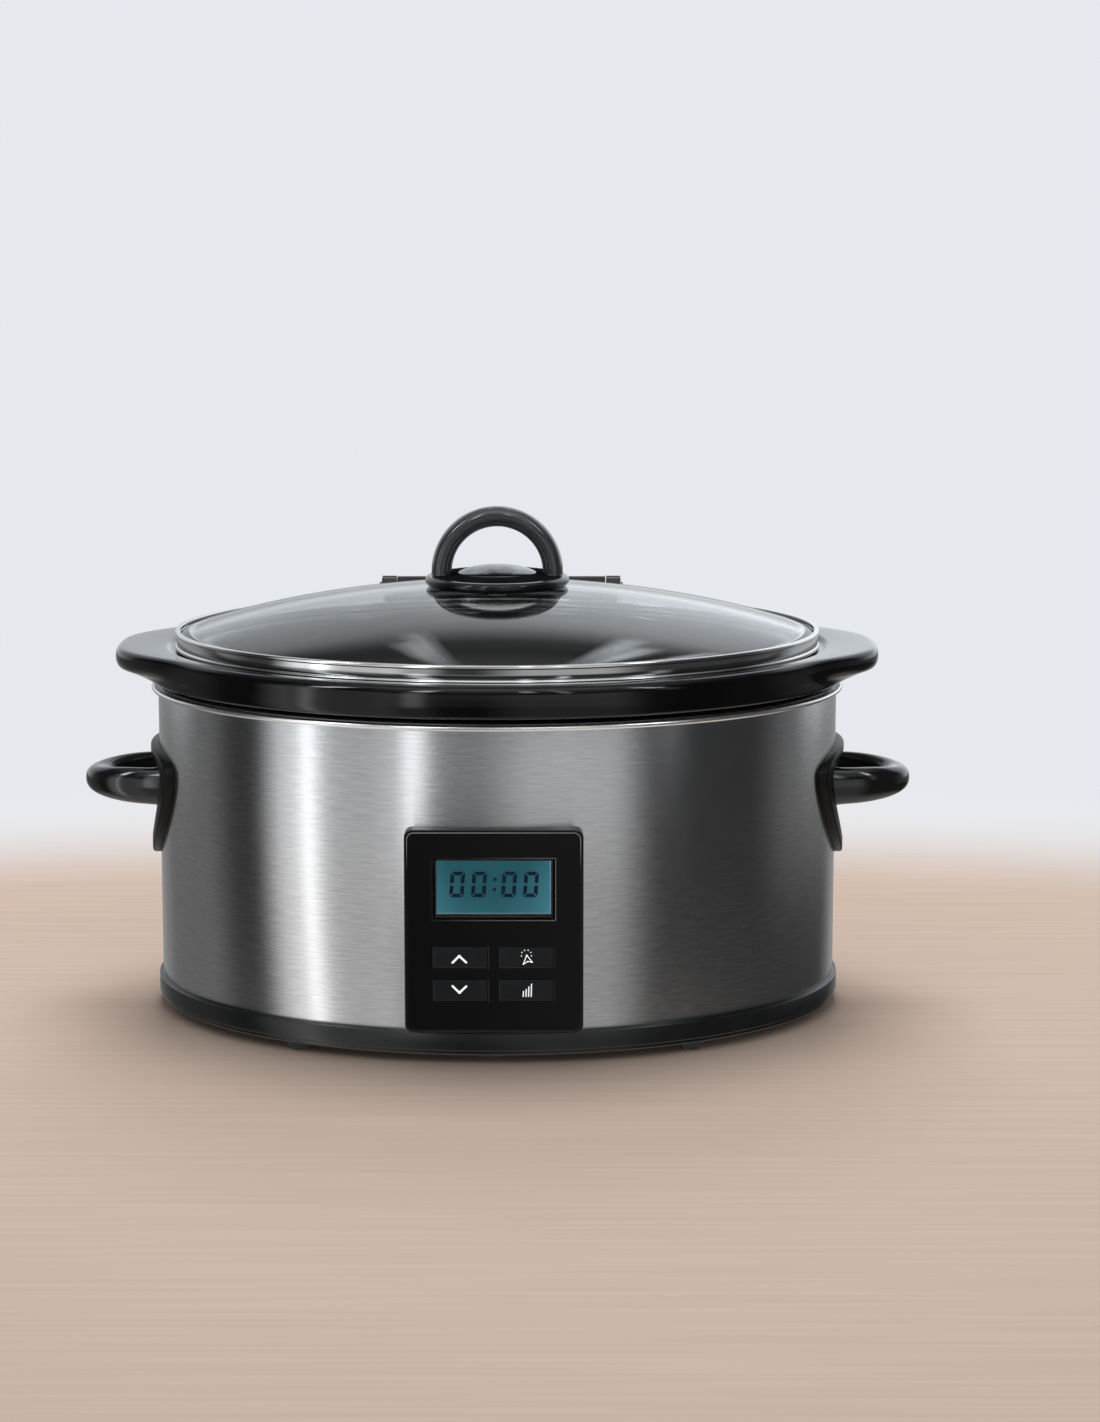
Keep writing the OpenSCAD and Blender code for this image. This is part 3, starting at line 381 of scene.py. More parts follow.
def joined(first, second):
    both = made(first.tree, "GeometryNodeJoinGeometry")
    for shape in (first, second):
        link(shape, both.node, 0)
    return both


def rod(radius, length, middle):
    """An upright round rod, its middle at a height."""
    bar = made(radius.tree, "GeometryNodeMeshCylinder", {"Vertices": 24, "Radius": radius, "Depth": length})
    return moved(bar, middle)


def head_and_shank(given, share):
    """A crowned head above its place, its edge a share of its height, and a shank below."""
    tree, radius, height = given.tree, given["Head Radius"], given["Head Height"]
    edge, length = height * share, given["Shank Length"]
    disc = made(tree, "GeometryNodeMeshCylinder", {"Vertices": 32, "Side Segments": 1, "Fill Segments": 5,
                                                   "Radius": radius, "Depth": edge})
    x, y, z = axes(made(tree, "GeometryNodeInputPosition"))
    out = (x * x + y * y).root() / radius
    rise = made(tree, "ShaderNodeCombineXYZ", {"Z": (1.0 - out * out) * (height * (1 - share))})
    top = made(tree, "FunctionNodeCompare", {0: z, 1: 0.0}, data_type="FLOAT", operation="GREATER_THAN")
    crowned = made(tree, "GeometryNodeSetPosition", {"Geometry": disc, "Selection": top, "Offset": rise})
    return moved(crowned, edge * 0.5), rod(given["Shank Radius"], length, length * -0.5)


def screw_tree():
    """Pan-head screws with a cross recess."""
    given = geometry_tree("pan_head_screws", {"Head Radius": 0.0028, "Head Height": 0.0018,
                                              "Shank Radius": 0.0015, "Shank Length": 0.007})
    head, shank = head_and_shank(given, 0.6)
    tree, radius, height = given.tree, given["Head Radius"], given["Head Height"]
    cut = made(tree, "GeometryNodeMeshBoolean", {"Mesh 1": head}, operation="DIFFERENCE")
    for a, b in ((1.1, 0.24), (0.24, 1.1)):
        size = made(tree, "ShaderNodeCombineXYZ", {"X": radius * a, "Y": radius * b, "Z": height * 0.9})
        link(moved(made(tree, "GeometryNodeMeshCube", {"Size": size}), height), cut.node, "Mesh 2")
    return planted(given, joined(cut, shank))


def rivet_tree():
    """Round-headed rivets."""
    given = geometry_tree("round_rivets", {"Head Radius": 0.0028, "Head Height": 0.0014,
                                           "Shank Radius": 0.0014, "Shank Length": 0.004})
    return planted(given, joined(*head_and_shank(given, 0.35)))


def foot_tree():
    """Tapered rubber feet with a soft edge, each with its stem above."""
    given = geometry_tree("rubber_feet", {"Bottom Radius": 0.004, "Top Radius": 0.0068, "Foot Height": 0.005,
                                          "Stem Radius": 0.003, "Stem Length": 0.0045})
    tree, high, stem = given.tree, given["Foot Height"], given["Stem Length"]
    cone = made(tree, "GeometryNodeMeshCone", {
        "Vertices": 40, "Side Segments": 7, "Fill Segments": 5, "Radius Top": given["Top Radius"],
        "Radius Bottom": given["Bottom Radius"], "Depth": high})
    soft = made(tree, "GeometryNodeSubdivisionSurface", {"Mesh": cone, "Level": 1})
    return planted(given, joined(soft, rod(given["Stem Radius"], stem, high + stem * 0.5)))


def spring_tree():
    """A round-wire coil spring that stands on its place."""
    given = geometry_tree("coil_springs", {"Coil Radius": 0.008, "Wire Radius": 0.0005, "Turns": 4.0,
                                           "Height": 0.006})
    tree = given.tree
    line = made(tree, "GeometryNodeCurveSpiral", {
        "Resolution": 40, "Rotations": given["Turns"], "Start Radius": given["Coil Radius"],
        "End Radius": given["Coil Radius"], "Height": given["Height"]})
    section = made(tree, "GeometryNodeCurvePrimitiveCircle", {"Resolution": 10,
                                                              "Radius": given["Wire Radius"]})
    wire = made(tree, "GeometryNodeCurveToMesh", {"Curve": line, "Profile Curve": section, "Fill Caps": True})
    return planted(given, wire)


# ---- Shader groups ----
def noise(vector, scale, detail=3.0, rough=0.5):
    return made(vector.tree, "ShaderNodeTexNoise", {"Vector": vector, "Scale": scale, "Detail": detail,
                                                    "Roughness": rough})


def spread(value, low, high, to_low=0.0, to_high=1.0):
    return made(value.tree, "ShaderNodeMapRange", {"Value": value, "From Min": low, "From Max": high,
                                                   "To Min": to_low, "To Max": to_high})


def mixed(factor, a, b):
    return made(factor.tree, "ShaderNodeMix", {0: factor, 6: a, 7: b}, data_type="RGBA")[2]


def finish_group(name, numbers):
    """A group that takes a place, two colours, a roughness with its change, and named numbers. Returns its first
    input."""
    group = bpy.data.node_groups.new(name, "ShaderNodeTree")
    group.interface.new_socket("Vector", in_out="INPUT", socket_type="NodeSocketVector")
    for label in ("Colour", "Second Colour"):
        group.interface.new_socket(label, in_out="INPUT", socket_type="NodeSocketColor")
    for label, value in {"Roughness": 0.4, "Roughness Change": 0.1, **numbers}.items():
        group.interface.new_socket(label, in_out="INPUT", socket_type="NodeSocketFloat").default_value = value
    for label, kind in (("Colour", "Color"), ("Roughness", "Float"), ("Height", "Float")):
        group.interface.new_socket(label, in_out="OUTPUT", socket_type="NodeSocket" + kind)
    return Value(group.nodes.new("NodeGroupInput").outputs[0])


def finished(given, pattern, low, high, height):
    """Ends a finish group: a pattern mixes the colours and changes the gloss."""
    leave = given.tree.nodes.new("NodeGroupOutput")
    link(mixed(spread(pattern, low, high), given["Colour"], given["Second Colour"]), leave, "Colour")
    link(given["Roughness"] + (pattern - 0.5) * given["Roughness Change"] * 2.0, leave, "Roughness")
    link(height, leave, "Height")
    return given.tree


def mottle_group():
    """Small changes of tone and gloss, with a fine grain as height."""
    given = finish_group("mottle", {"Size": 60.0, "Grain": 1500.0})
    broad = noise(given["Vector"], given["Size"], 4.0, 0.55)
    fine = noise(given["Vector"], given["Grain"], 2.0, 0.6)
    return finished(given, broad, 0.32, 0.68, fine)


def brushing_group():
    """Fine brush lines that run along the first axis of the vector given, in metres."""
    given = finish_group("brush_lines", {"Along": 60.0, "Across": 1400.0})
    x, y, z = axes(given["Vector"])
    run = made(given.tree, "ShaderNodeCombineXYZ", {"X": x * given["Along"], "Y": y * given["Across"],
                                                    "Z": z * given["Across"]})
    lines, clouds = noise(run, 1.0, 4.0, 0.72), noise(given["Vector"], 14.0, 2.0)
    return finished(given, lines * 0.8 + clouds * 0.2, 0.35, 0.65, lines)


MOTTLE, BRUSHING = mottle_group(), brushing_group()


# ---- Materials ----
def new_material(name):
    """A material and its output node."""
    material = bpy.data.materials.new(name)
    material.use_nodes = True
    material.node_tree.nodes.clear()
    return material, material.node_tree.nodes.new("ShaderNodeOutputMaterial")


def object_place(leave):
    return made(leave.id_data, "ShaderNodeTexCoord")["Object"]


def shade(leave, looks, **fixed):
    """The shader itself, with its constants on its own sockets."""
    fixed = {key.replace("_", " "): value for key, value in fixed.items()}
    body = made(leave.id_data, "ShaderNodeBsdfPrincipled", {**fixed, **looks})
    link(body, leave, "Surface")
    return body


def bumped(height, strength, distance):
    """Bump from a height; the distance is in millimetres."""
    return made(height.tree, "ShaderNodeBump", {"Height": height, "Strength": strength,
                                                "Distance": distance * MM})


def rgb(r, g=None, b=None):
    return (r, r if g is None else g, r if b is None else b, 1.0)


def finish(name, group, given, strength, depth, fixed, uv=None):
    """A material whose colour, gloss and bump come from a finish group, by Object coordinates or a UV map."""
    material, leave = new_material(name)
    tree = leave.id_data
    place = made(tree, "ShaderNodeUVMap", uv_map=uv) if uv else object_place(leave)
    marks = made(tree, "ShaderNodeGroup", {"Vector": place, **given}, node_tree=group)
    looks = {"Base Color": marks["Colour"], "Roughness": marks["Roughness"]}
    if depth:
        looks["Normal"] = bumped(marks["Height"], strength, depth)
    if fixed.get("Anisotropic"):
        looks["Tangent"] = made(tree, "ShaderNodeTangent", direction_type="RADIAL", axis="Z")
    shade(leave, looks, **fixed)
    return material


def mottled(name, colour, second, rough, change=0.08, size=60.0, grain=1500.0, depth=0.02, metallic=0.0, **fixed):
    """A moulded, cast, glazed or plated finish with small changes of tone and gloss and a fine grain."""
    return finish(name, MOTTLE, {"Colour": rgb(*colour), "Second Colour": rgb(*second), "Roughness": rough,
                                 "Roughness Change": change, "Size": size, "Grain": grain},
                  0.5, depth, {"Metallic": metallic, **fixed})


def brushed(name, colour, second, rough, change, along=60.0, across=1400.0, depth=0.004, uv="along", **fixed):
    """Brushed metal, its lines along the piece's own UV map or, without one, along X."""
    return finish(name, BRUSHING, {"Colour": rgb(*colour), "Second Colour": rgb(*second), "Roughness": rough,
                                   "Roughness Change": change, "Along": along, "Across": across},
                  0.4, depth, {"Metallic": 1.0, **fixed}, uv)


def clear_glass(name, tint, ior=1.47):
    """Clear glass that lets lamps shine through, with faint smears."""
    material, leave = new_material(name)
    smear, duller = noise(object_place(leave), 26.0), rgb(*(c * 0.97 for c in tint[:3]))
    body = shade(leave, {"Base Color": mixed(spread(smear, 0.35, 0.7), tint, duller),
                         "Roughness": spread(smear, 0.5, 0.75, 0.0, 0.02)},
                 Metallic=0.0, Transmission_Weight=1.0, IOR=ior)
    through = made(body.tree, "ShaderNodeBsdfTransparent", {"Color": tint})
    shadow = made(body.tree, "ShaderNodeLightPath")["Is Shadow Ray"]
    link(made(body.tree, "ShaderNodeMixShader", {0: shadow, 1: body, 2: through}), leave, "Surface")
    return material


def display_teal():
    """The lit display: teal, paler downwards and towards its sides, with a lit line below and on the right."""
    material, leave = new_material("lit display")
    place = object_place(leave)
    x, _, z = axes(place)
    cloud = noise(place, 45.0, 2.0)
    side = (spread(x, display_low.x, display_high.x) - 0.45).size().power(2.0)
    up = spread(z, display_low.z, display_high.z)
    pale = side * 2.2 + (0.5 - up) * 0.5 + cloud * 0.35
    glow = mixed(spread(pale, 0.2, 1.0), rgb(0.003, 0.072, 0.097), rgb(0.043, 0.19, 0.25))
    lit_line = (x > 27.55 * MM).larger(z < display_low.z + 6.3 * MM)
    shade(leave, {"Emission Color": mixed(lit_line * 0.6, glow, rgb(0.25, 0.42, 0.46)),
                  "Roughness": spread(cloud, 0.3, 0.7, 0.35, 0.45)},
          Base_Color=rgb(0.012, 0.02, 0.022), Emission_Strength=1.0, Metallic=0.0, Specular_IOR_Level=0.2)
    return material


def circuit_board():
    """Solder mask with copper tracks under it and tinned pads."""
    material, leave = new_material("circuit board")
    place = object_place(leave)
    cells = made(place.tree, "ShaderNodeTexBrick", {
        "Vector": place, "Scale": 260.0, "Mortar Size": 0.035, "Color1": rgb(0.03, 0.2, 0.085),
        "Color2": rgb(0.025, 0.17, 0.07), "Mortar": rgb(0.06, 0.32, 0.15)})
    pads = made(place.tree, "ShaderNodeTexVoronoi", {"Vector": place, "Scale": 330.0})["Distance"] < 0.16
    shade(leave, {"Base Color": mixed(pads, cells["Color"], rgb(0.62, 0.6, 0.56)), "Metallic": pads,
                  "Roughness": spread(pads, 0.0, 1.0, 0.32, 0.25), "Normal": bumped(cells["Fac"], 0.4, 0.03)})
    return material


def wool():
    """Pressed mineral wool: matted short fibres."""
    material, leave = new_material("mineral wool")
    place = object_place(leave)
    mat = noise(place, 420.0, 6.0, 0.75)
    strand = made(place.tree, "ShaderNodeTexWave", {"Vector": place, "Scale": 90.0, "Distortion": 14.0,
                                                    "Detail": 4.0, "Detail Scale": 3.0})["Fac"]
    fibres = (mat + strand) * 0.5
    shade(leave, {"Base Color": mixed(fibres, rgb(0.62, 0.56, 0.42), rgb(0.88, 0.86, 0.76)),
                  "Roughness": spread(mat, 0.3, 0.7, 0.85, 1.0), "Normal": bumped(fibres, 0.9, 0.5)},
          Sheen_Weight=0.3)
    return material


def painted_edge_highlight(name, x_share, z_share, low, high):
    """A glossy black edge with a painted highlight: its colour and glow turn lighter towards one side of the panel.
    """
    material, leave = new_material(name)
    place = object_place(leave)
    x, _, z = axes(place)
    patchy = noise(place, 55.0, 2.0)
    # painted highlight: this mask turns the edge's colour grey and makes it glow
    painted_glint = spread(x * x_share + z * z_share, low, high) * spread(patchy, 0.3, 0.7, 0.6, 1.0)
    shade(leave, {"Base Color": mixed(painted_glint, rgb(0.012, 0.013, 0.014), rgb(0.32, 0.35, 0.37)),
                  "Roughness": spread(patchy, 0.3, 0.7, 0.18, 0.26),
                  "Emission Color": mixed(painted_glint, rgb(0.0), rgb(0.13, 0.145, 0.155))},
          Metallic=0.0, Emission_Strength=1.0)
    return material


SHELL_STEEL = brushed("brushed shell steel", (0.56, 0.56, 0.565), (0.69, 0.69, 0.695), 0.21, 0.05, along=80,
                      across=1150, depth=0.0012, Anisotropic=0.78, Anisotropic_Rotation=0.25)
RIM_STEEL = brushed("satin rim steel", (0.96, 0.96, 0.955), (0.98, 0.98, 0.975), 0.22, 0.04, along=90,
                    across=900, depth=0.001, Metallic=0.92)
LID_STEEL = brushed("polished lid band", (0.8, 0.8, 0.79), (0.86, 0.86, 0.85), 0.07, 0.03, along=40, across=700,
                    depth=0.0006)
WELL_METAL = brushed("plain well sheet", (0.40, 0.41, 0.42), (0.5, 0.51, 0.52), 0.38, 0.1, uv=None, depth=0.004)
BAND_METAL = brushed("heater band foil", (0.56, 0.54, 0.5), (0.68, 0.66, 0.61), 0.42, 0.15, uv=None, across=500)
SHIELD_METAL = brushed("bright shield sheet", (0.7, 0.71, 0.72), (0.8, 0.81, 0.82), 0.25, 0.1, uv=None)
ZINC = mottled("zinc plated steel", (0.55, 0.56, 0.55), (0.74, 0.74, 0.72), 0.34, 0.12, 900, 3000, 0.01, 1.0)
SCREW_STEEL = mottled("turned screw steel", (0.5, 0.5, 0.5), (0.68, 0.68, 0.68), 0.3, 0.1, 700, 3000, 0.01, 1.0)
PIN_STEEL = mottled("polished pin steel", (0.72, 0.72, 0.72), (0.82, 0.82, 0.82), 0.12, 0.06, 300, 2500, 0.003,
                    1.0)
SENSOR_METAL = mottled("spun sensor cup", (0.6, 0.6, 0.6), (0.74, 0.74, 0.74), 0.33, 0.1, 500, 2500, 0.01, 1.0)
# The knob's boss: chrome whose colour runs in broad patches from near black to grey, painted dark reflections
KNOB_CHROME_PAINTED_REFLECTION = mottled("knob chrome with painted dark reflections", (0.045, 0.048, 0.052), (0.38, 0.39, 0.4), 0.14, 0.06, 60, 2500, 0.001, 1.0)
BRASS = mottled("turned brass", (0.64, 0.47, 0.2), (0.76, 0.6, 0.3), 0.28, 0.1, 700, 2500, 0.01, 1.0)
GLAZE = mottled("black crock glaze", (0.0028, 0.0029, 0.0032), (0.006, 0.006, 0.0062), 0.09, 0.04, 30, 90, 0.004,
                Coat_Weight=1.0, Coat_Roughness=0.02, Coat_IOR=1.42, Specular_IOR_Level=0.05)
HANDLE_BLACK = mottled("gloss handle plastic", (0.0075, 0.0085, 0.0085), (0.012, 0.0135, 0.013), 0.11, 0.04, 55,
                       1300, 0.0015, Coat_Weight=0.4, Coat_Roughness=0.03)
KNOB_BLACK = mottled("gloss knob plastic", (0.009, 0.0115, 0.0125), (0.013, 0.0158, 0.017), 0.12, 0.04, 70, 1300,
                     0.001, Coat_Weight=0.4, Coat_Roughness=0.03, Specular_IOR_Level=0.25)
# The knob's grip: black gloss plastic given a bluish grey colour, a painted sheen that stands in for reflected
# light
ARCH_PAINTED_SHEEN = mottled("gloss grip plastic with painted sheen", (0.045, 0.053, 0.058), (0.056, 0.065, 0.071), 0.16, 0.05, 60, 1300,
                     0.001, Coat_Weight=0.6, Coat_Roughness=0.04)
SAUCER_BLACK = mottled("dull saucer top", (0.006, 0.0065, 0.007), (0.01, 0.0105, 0.011), 0.6, 0.1, 90, 1500,
                       0.004, Specular_IOR_Level=0.0)
SHIELD_BLACK = mottled("satin handle plastic", (0.009, 0.01, 0.0095), (0.0135, 0.0145, 0.0135), 0.3, 0.06, 60,
                       1400, 0.003, Specular_IOR_Level=0.12)
HINGE_BLACK = mottled("satin hinge plastic", (0.011, 0.011, 0.012), (0.018, 0.018, 0.018), 0.34, 0.1, 80, 1400,
                      0.012)
BASE_BLACK = mottled("semi-gloss base plastic", (0.013, 0.0155, 0.0165), (0.018, 0.021, 0.022), 0.22, 0.05, 60,
                     1500, 0.003)
PLATE_PAINT = mottled("matt plate paint", (0.05, 0.05, 0.053), (0.075, 0.075, 0.078), 0.6, 0.15, 120, 1800, 0.03)
PANEL_BLACK = mottled("gloss panel plastic", (0.004, 0.0045, 0.005), (0.006, 0.0065, 0.007), 0.12, 0.03, 60,
                      1500, 0.001)
LENS_BLACK = mottled("lens plate", (0.0022, 0.0024, 0.0026), (0.0034, 0.0036, 0.0038), 0.06, 0.03, 35, 1500,
                     0.0003)
KEY_BLACK = mottled("key cap plastic", (0.0055, 0.0082, 0.0105), (0.0075, 0.0105, 0.013), 0.26, 0.05, 90, 1600,
                    0.002)
MASK_BLACK = mottled("display mask", (0.003, 0.003, 0.0035), (0.005, 0.005, 0.0055), 0.45, 0.08, 90, 1600, 0.004)
DIGIT_INK = mottled("display digit ink", (0.001, 0.008, 0.03), (0.003, 0.013, 0.042), 0.5, 0.05, 300, 1600, 0.0,
                    Specular_IOR_Level=0.1)
# White print on the keys: its colour is the print's own, and its emission is a painted glow
ICON_PRINT_PAINTED_GLOW = mottled("printed white with painted glow", (0.78, 0.79, 0.79), (0.86, 0.87, 0.87), 0.45, 0.1, 500, 2500, 0.003,
                     Emission_Color=rgb(0.8, 0.82, 0.83), Emission_Strength=0.8)
BACKLIGHT = mottled("backlight diffuser", (0.78, 0.8, 0.82), (0.88, 0.9, 0.9), 0.55, 0.1, 200, 1600, 0.01)
FOOT_RUBBER = mottled("foot rubber", (0.018, 0.018, 0.018), (0.03, 0.03, 0.029), 0.72, 0.12, 300, 2500, 0.04)
SEAL_RUBBER = mottled("seal silicone", (0.022, 0.022, 0.022), (0.034, 0.034, 0.034), 0.5, 0.1, 200, 1600, 0.01)
SLEEVE = mottled("lead sleeve", (0.66, 0.64, 0.55), (0.78, 0.76, 0.68), 0.6, 0.1, 500, 2000, 0.03)
CHIP_BLACK = mottled("chip resin", (0.012, 0.012, 0.012), (0.022, 0.022, 0.022), 0.55, 0.1, 700, 3000, 0.01)
SWITCH_BLACK = mottled("switch body", (0.02, 0.02, 0.022), (0.032, 0.032, 0.034), 0.5, 0.1, 600, 2500, 0.01)
INLET_BLACK = mottled("inlet plastic", (0.011, 0.011, 0.0115), (0.019, 0.019, 0.019), 0.45, 0.1, 150, 1500, 0.02)
TAPE = mottled("transformer tape", (0.62, 0.42, 0.05), (0.75, 0.55, 0.1), 0.35, 0.15, 200, 1500, 0.02)
RELAY_BLUE = mottled("relay case", (0.025, 0.08, 0.36), (0.035, 0.11, 0.42), 0.35, 0.08, 200, 1800, 0.01)
CAN_BLACK = mottled("capacitor sleeve", (0.014, 0.016, 0.035), (0.022, 0.025, 0.05), 0.35, 0.1, 200, 1800, 0.01)
TERMINAL = mottled("terminal block", (0.02, 0.2, 0.07), (0.03, 0.26, 0.1), 0.4, 0.08, 200, 1800, 0.01)
RIBBON = mottled("ribbon cable", (0.36, 0.36, 0.38), (0.46, 0.46, 0.48), 0.5, 0.1, 600, 1500, 0.02)
LID_GLASS = clear_glass("lid glass", rgb(0.93, 0.95, 0.95))
WINDOW_GLASS = clear_glass("display window", rgb(0.95, 0.97, 0.97), ior=1.2)
DISPLAY, BOARD, WOOL = display_teal(), circuit_board(), wool()


# ---- Body ----
def body_shell():
    """The brushed sheet round the body, open behind the control panel."""
    holder = in_scene("shell_blank", oval_hoop(
        shell_a, shell_b, [(0, z0_mm, 0.25), (0, z1_mm, 0.2), (-SHEET, z1_mm, 0.2), (-SHEET, z0_mm, 0.25)],
        marked=True, steps=3))
    side_gap, low_gap, high_gap = 5.2 * MM, 4.8 * MM, 4.3 * MM     # from the panel's outline to the opening
    neck_half = (panel_high.x - panel_low.x) / 2 - side_gap
    corners = [(x, y, z) for x in (-neck_half, neck_half) for y in (shell_low.y - 0.01, shell_low.y + 0.03)
               for z in (panel_low.z + low_gap, panel_high.z - high_gap)]
    cutter = in_scene("neck_cutter", clean_mesh(
        corners, [(0, 1, 3, 2), (4, 6, 7, 5), (0, 4, 5, 1), (2, 3, 7, 6), (0, 2, 6, 4), (1, 5, 7, 3)]))
    cut = holder.modifiers.new("opening", "BOOLEAN")
    cut.object, cut.operation, cut.solver = cutter, "DIFFERENCE", "EXACT"
    mesh = applied(holder)
    for thing in (holder, cutter):
        bpy.data.objects.remove(thing)
    return mesh


def crock_mesh():
    """The stoneware pot: a well below, a deep flange with a blunt wing at each side, and the lid's seat."""
    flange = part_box("heating_well")[1].z / MM + 0.3
    bottom, top, wing = crock_low.z / MM, crock_high.z / MM, crock_high.x / MM
    lip_a, lip_b = a_mm + 4, (body_y - crock_low.y) / MM
    in_a, in_b, wall = a_mm - 16.5, b_mm - 16.5, 21.5
    seat_a, seat_b, seat = lid_a / MM, lid_b / MM, top - 2.3
    # Each station: height, half width, half depth, and the same of the wings, or nought where there are none.
    stations = [(bottom + d, in_a - s, in_b - s, 0, 0)
                for d, s in ((0, 30), (1, 22), (4, 17), (9, 14), (16, 12.6))]
    stations += [(flange - 3, in_a - 4, in_b - 4, 0, 0), (flange, in_a - 1, in_b - 1, 0, 0),
                 (flange, a_mm - 6.5, b_mm - 6.5, 0, 0), (flange + 2.6, a_mm - 3, b_mm - 2.5, 0, 0),
                 (flange + 3, lip_a, lip_b - 1.6, 0, 0), (flange + 4, lip_a + 1.2, lip_b - 0.4, 0, 0)]
    stations += [(top - d, lip_a - u, lip_b - v, wing - w, b_mm - q) for d, u, v, w, q in (
        (12.2, -1, 0.1, 6.5, 39.5), (10.4, -0.4, 0, 1.6, 35), (7.6, 0, 0, 0.2, 31.3), (5, 0, 0, 0, 29.8),
        (3.2, 0.3, 0.3, 0.2, 29.7), (1.9, 0.95, 0.95, 0.6, 29.9), (0.9, 1.95, 1.9, 1.3, 30.4),
        (0.25, 3.3, 3.2, 2.4, 31.4), (0, 5.1, 5.0, 4.0, 33))]
    stations += [(z, seat_a + s, seat_b + s, 0, 0)
                 for z, s in ((top - 0.1, 4.3), (seat + 0.3, 2.5), (seat, 1.7))]
    stations += [(seat - d, in_a - s, in_b - s, 0, 0) for d, s in ((0, 7.4), (1, 9.6), (5, 11))]
    stations += [(bottom + d, in_a - wall - s, in_b - wall - s, 0, 0) for d, s in
                 ((24, -2.5), (14, 0), (9, 5.5), (7, 14.5))]

    blunt, blend = 80, 60          # powers: how square a wing's end is, and how sharply it leaves the oval

    def oval_r(a, b, t):
        return 1 / hypot(cos(t) / a, sin(t) / b)

    def reach(a, b, wing_a, wing_b, t):
        """Half width in a direction: the oval, and beyond it the wing with its blunt end."""
        plain = oval_r(a, b, t)
        if not wing_a:
            return plain
        end = wing_a / max(abs(cos(t)), 0.3)
        winged = (oval_r(wing_a + 3, wing_b, t) ** -blunt + end ** -blunt) ** (-1 / blunt)
        return (winged ** blend + plain ** blend) ** (1 / blend)

    count, soft, columns = 360, 40, []
    for i in range(count):
        t = 2 * pi * i / count
        line = rounded([(reach(*s[1:], t), s[0], soft) for s in stations], 3, closed=False)
        columns.append([(p.x * MM * cos(t), body_y + p.x * MM * sin(t), p.y * MM) for p in line])
    return skin([list(ring) for ring in zip(*columns)])


def lid_glass_mesh():
    """The domed glass with its hole for the knob's screw."""
    thick, hole, fullness = 4.0, 4.0, 0.93
    top, foot = glass_high.z / MM, lid_high.z / MM - 1.8
    out_a, out_b = lid_a / MM - 3.4, lid_b / MM - 3.4
    edge_a, edge_b = lid_a / MM - 2.1, lid_b / MM - 2.1

    def height(r):
        return foot + (top - foot) * max(0.0, 1 - r * r) ** fullness
    steps = [sin(radians(5 * k)) for k in range(1, 18)]
    line = [(hole, hole, top)] + [(r * out_a, r * out_b, height(r)) for r in steps]
    line += [(edge_a, edge_b, foot - 0.2), (edge_a, edge_b, foot - thick + 0.4),
             (out_a - 4, out_b - 4, foot - thick)]
    line += [(r * (out_a - 5), r * (out_b - 5), height(r) - thick) for r in reversed(steps)]
    line.append((hole, hole, top - thick))
    return skin([oval_ring(a * MM, b * MM, z * MM, 240) for a, b, z in line], closed=True)


def knob_arch_mesh():
    """The arch: a soft-edged band bent over a half circle, on two short legs that flare into the base."""
    wide, outer, foot = 10.6, arch_high.x / MM, arch_low.z / MM
    middle, centre = outer - wide / 2, arch_high.z / MM - outer
    section = squared_section(40, wide / 2, (arch_high.y - arch_low.y) / MM / 2)
    leg = [(foot, 1.16), (foot + 0.6, 1.07), (foot + 1.5, 1.02), (centre - 0.4, 1.0)]      # height and flare
    rings = [[(-(middle + p.x * flare), p.y * flare, z) for p in section] for z, flare in leg]
    for k in range(49):
        t = pi * k / 48
        rings.append([(-(middle + p.x) * cos(t), p.y, centre + (middle + p.x) * sin(t)) for p in section])
    rings += [[(middle + p.x * flare, p.y * flare, z) for p in section] for z, flare in reversed(leg)]
    return skin([[(x * MM, body_y + y * MM, z * MM) for x, y, z in ring] for ring in rings])


def even_points(outline, count):
    """Points at even steps along a closed outline."""
    lengths, even, k = [0.0], [], 0
    for p, q in zip(outline, outline[1:] + outline[:1]):
        lengths.append(lengths[-1] + (q - p).length)
    for i in range(count):
        at = lengths[-1] * i / count
        while lengths[k + 1] < at:
            k += 1
        p, q = outline[k], outline[(k + 1) % len(outline)]
        even.append(p.lerp(q, (at - lengths[k]) / (lengths[k + 1] - lengths[k])))
    return even


def shield_mesh(side, middle):
    """A handle's shield-shaped plate, bent to the shell, dished round the grip; middle is the grip's height."""
    half, low, high = (handle_high.y - handle_low.y) / 2 / MM - 4, handle_low.z / MM, handle_high.z / MM
    widest, thick, edge, under = middle + 10, 4.4, 1.3, 0.08
    outline = []
    for t in range(0, 360, 3):
        c, s = cos(radians(t)), sin(radians(t))
        power, tall = (2 / 2.4, high - widest) if s > 0 else (2 / 1.6, widest - low)
        outline.append(Vector((signed(c, power) * half, widest + signed(s, power) * tall)))
    even, core = even_points(outline, 160), Vector((0.0, middle))

    def plate_ring(inset, share, depth):
        ring = []
        for p in even:
            out = (p - core) * share * (1 - inset / (p - core).length)
            x = oval_y(b_mm + depth, a_mm + depth, out.x)
            ring.append((side * x * MM, body_y + out.x * MM, (middle + out.y) * MM))
        return ring
    # The dish from its middle outwards: share of the outline and depth.
    dish = ((0.03, 1.0), (0.3, 1.0), (0.56, 1.0), (0.7, 1.05), (0.75, 1.5), (0.79, 3.0), (0.83, 4.1),
            (0.87, thick), (0.95, thick))
    stack = [plate_ring(edge, share, depth) for share, depth in dish]
    for k in range(7):
        t = pi / 2 * k / 6
        stack.append(plate_ring(edge * (1 - sin(t)), 1.0, thick - edge * (1 - cos(t))))
    stack += [plate_ring(0, 1.0, 0.3), plate_ring(0.2, 1.0, under)]
    stack += [plate_ring(0.2, share, under) for share in (0.85, 0.6, 0.3, 0.03)]
    return skin(stack)


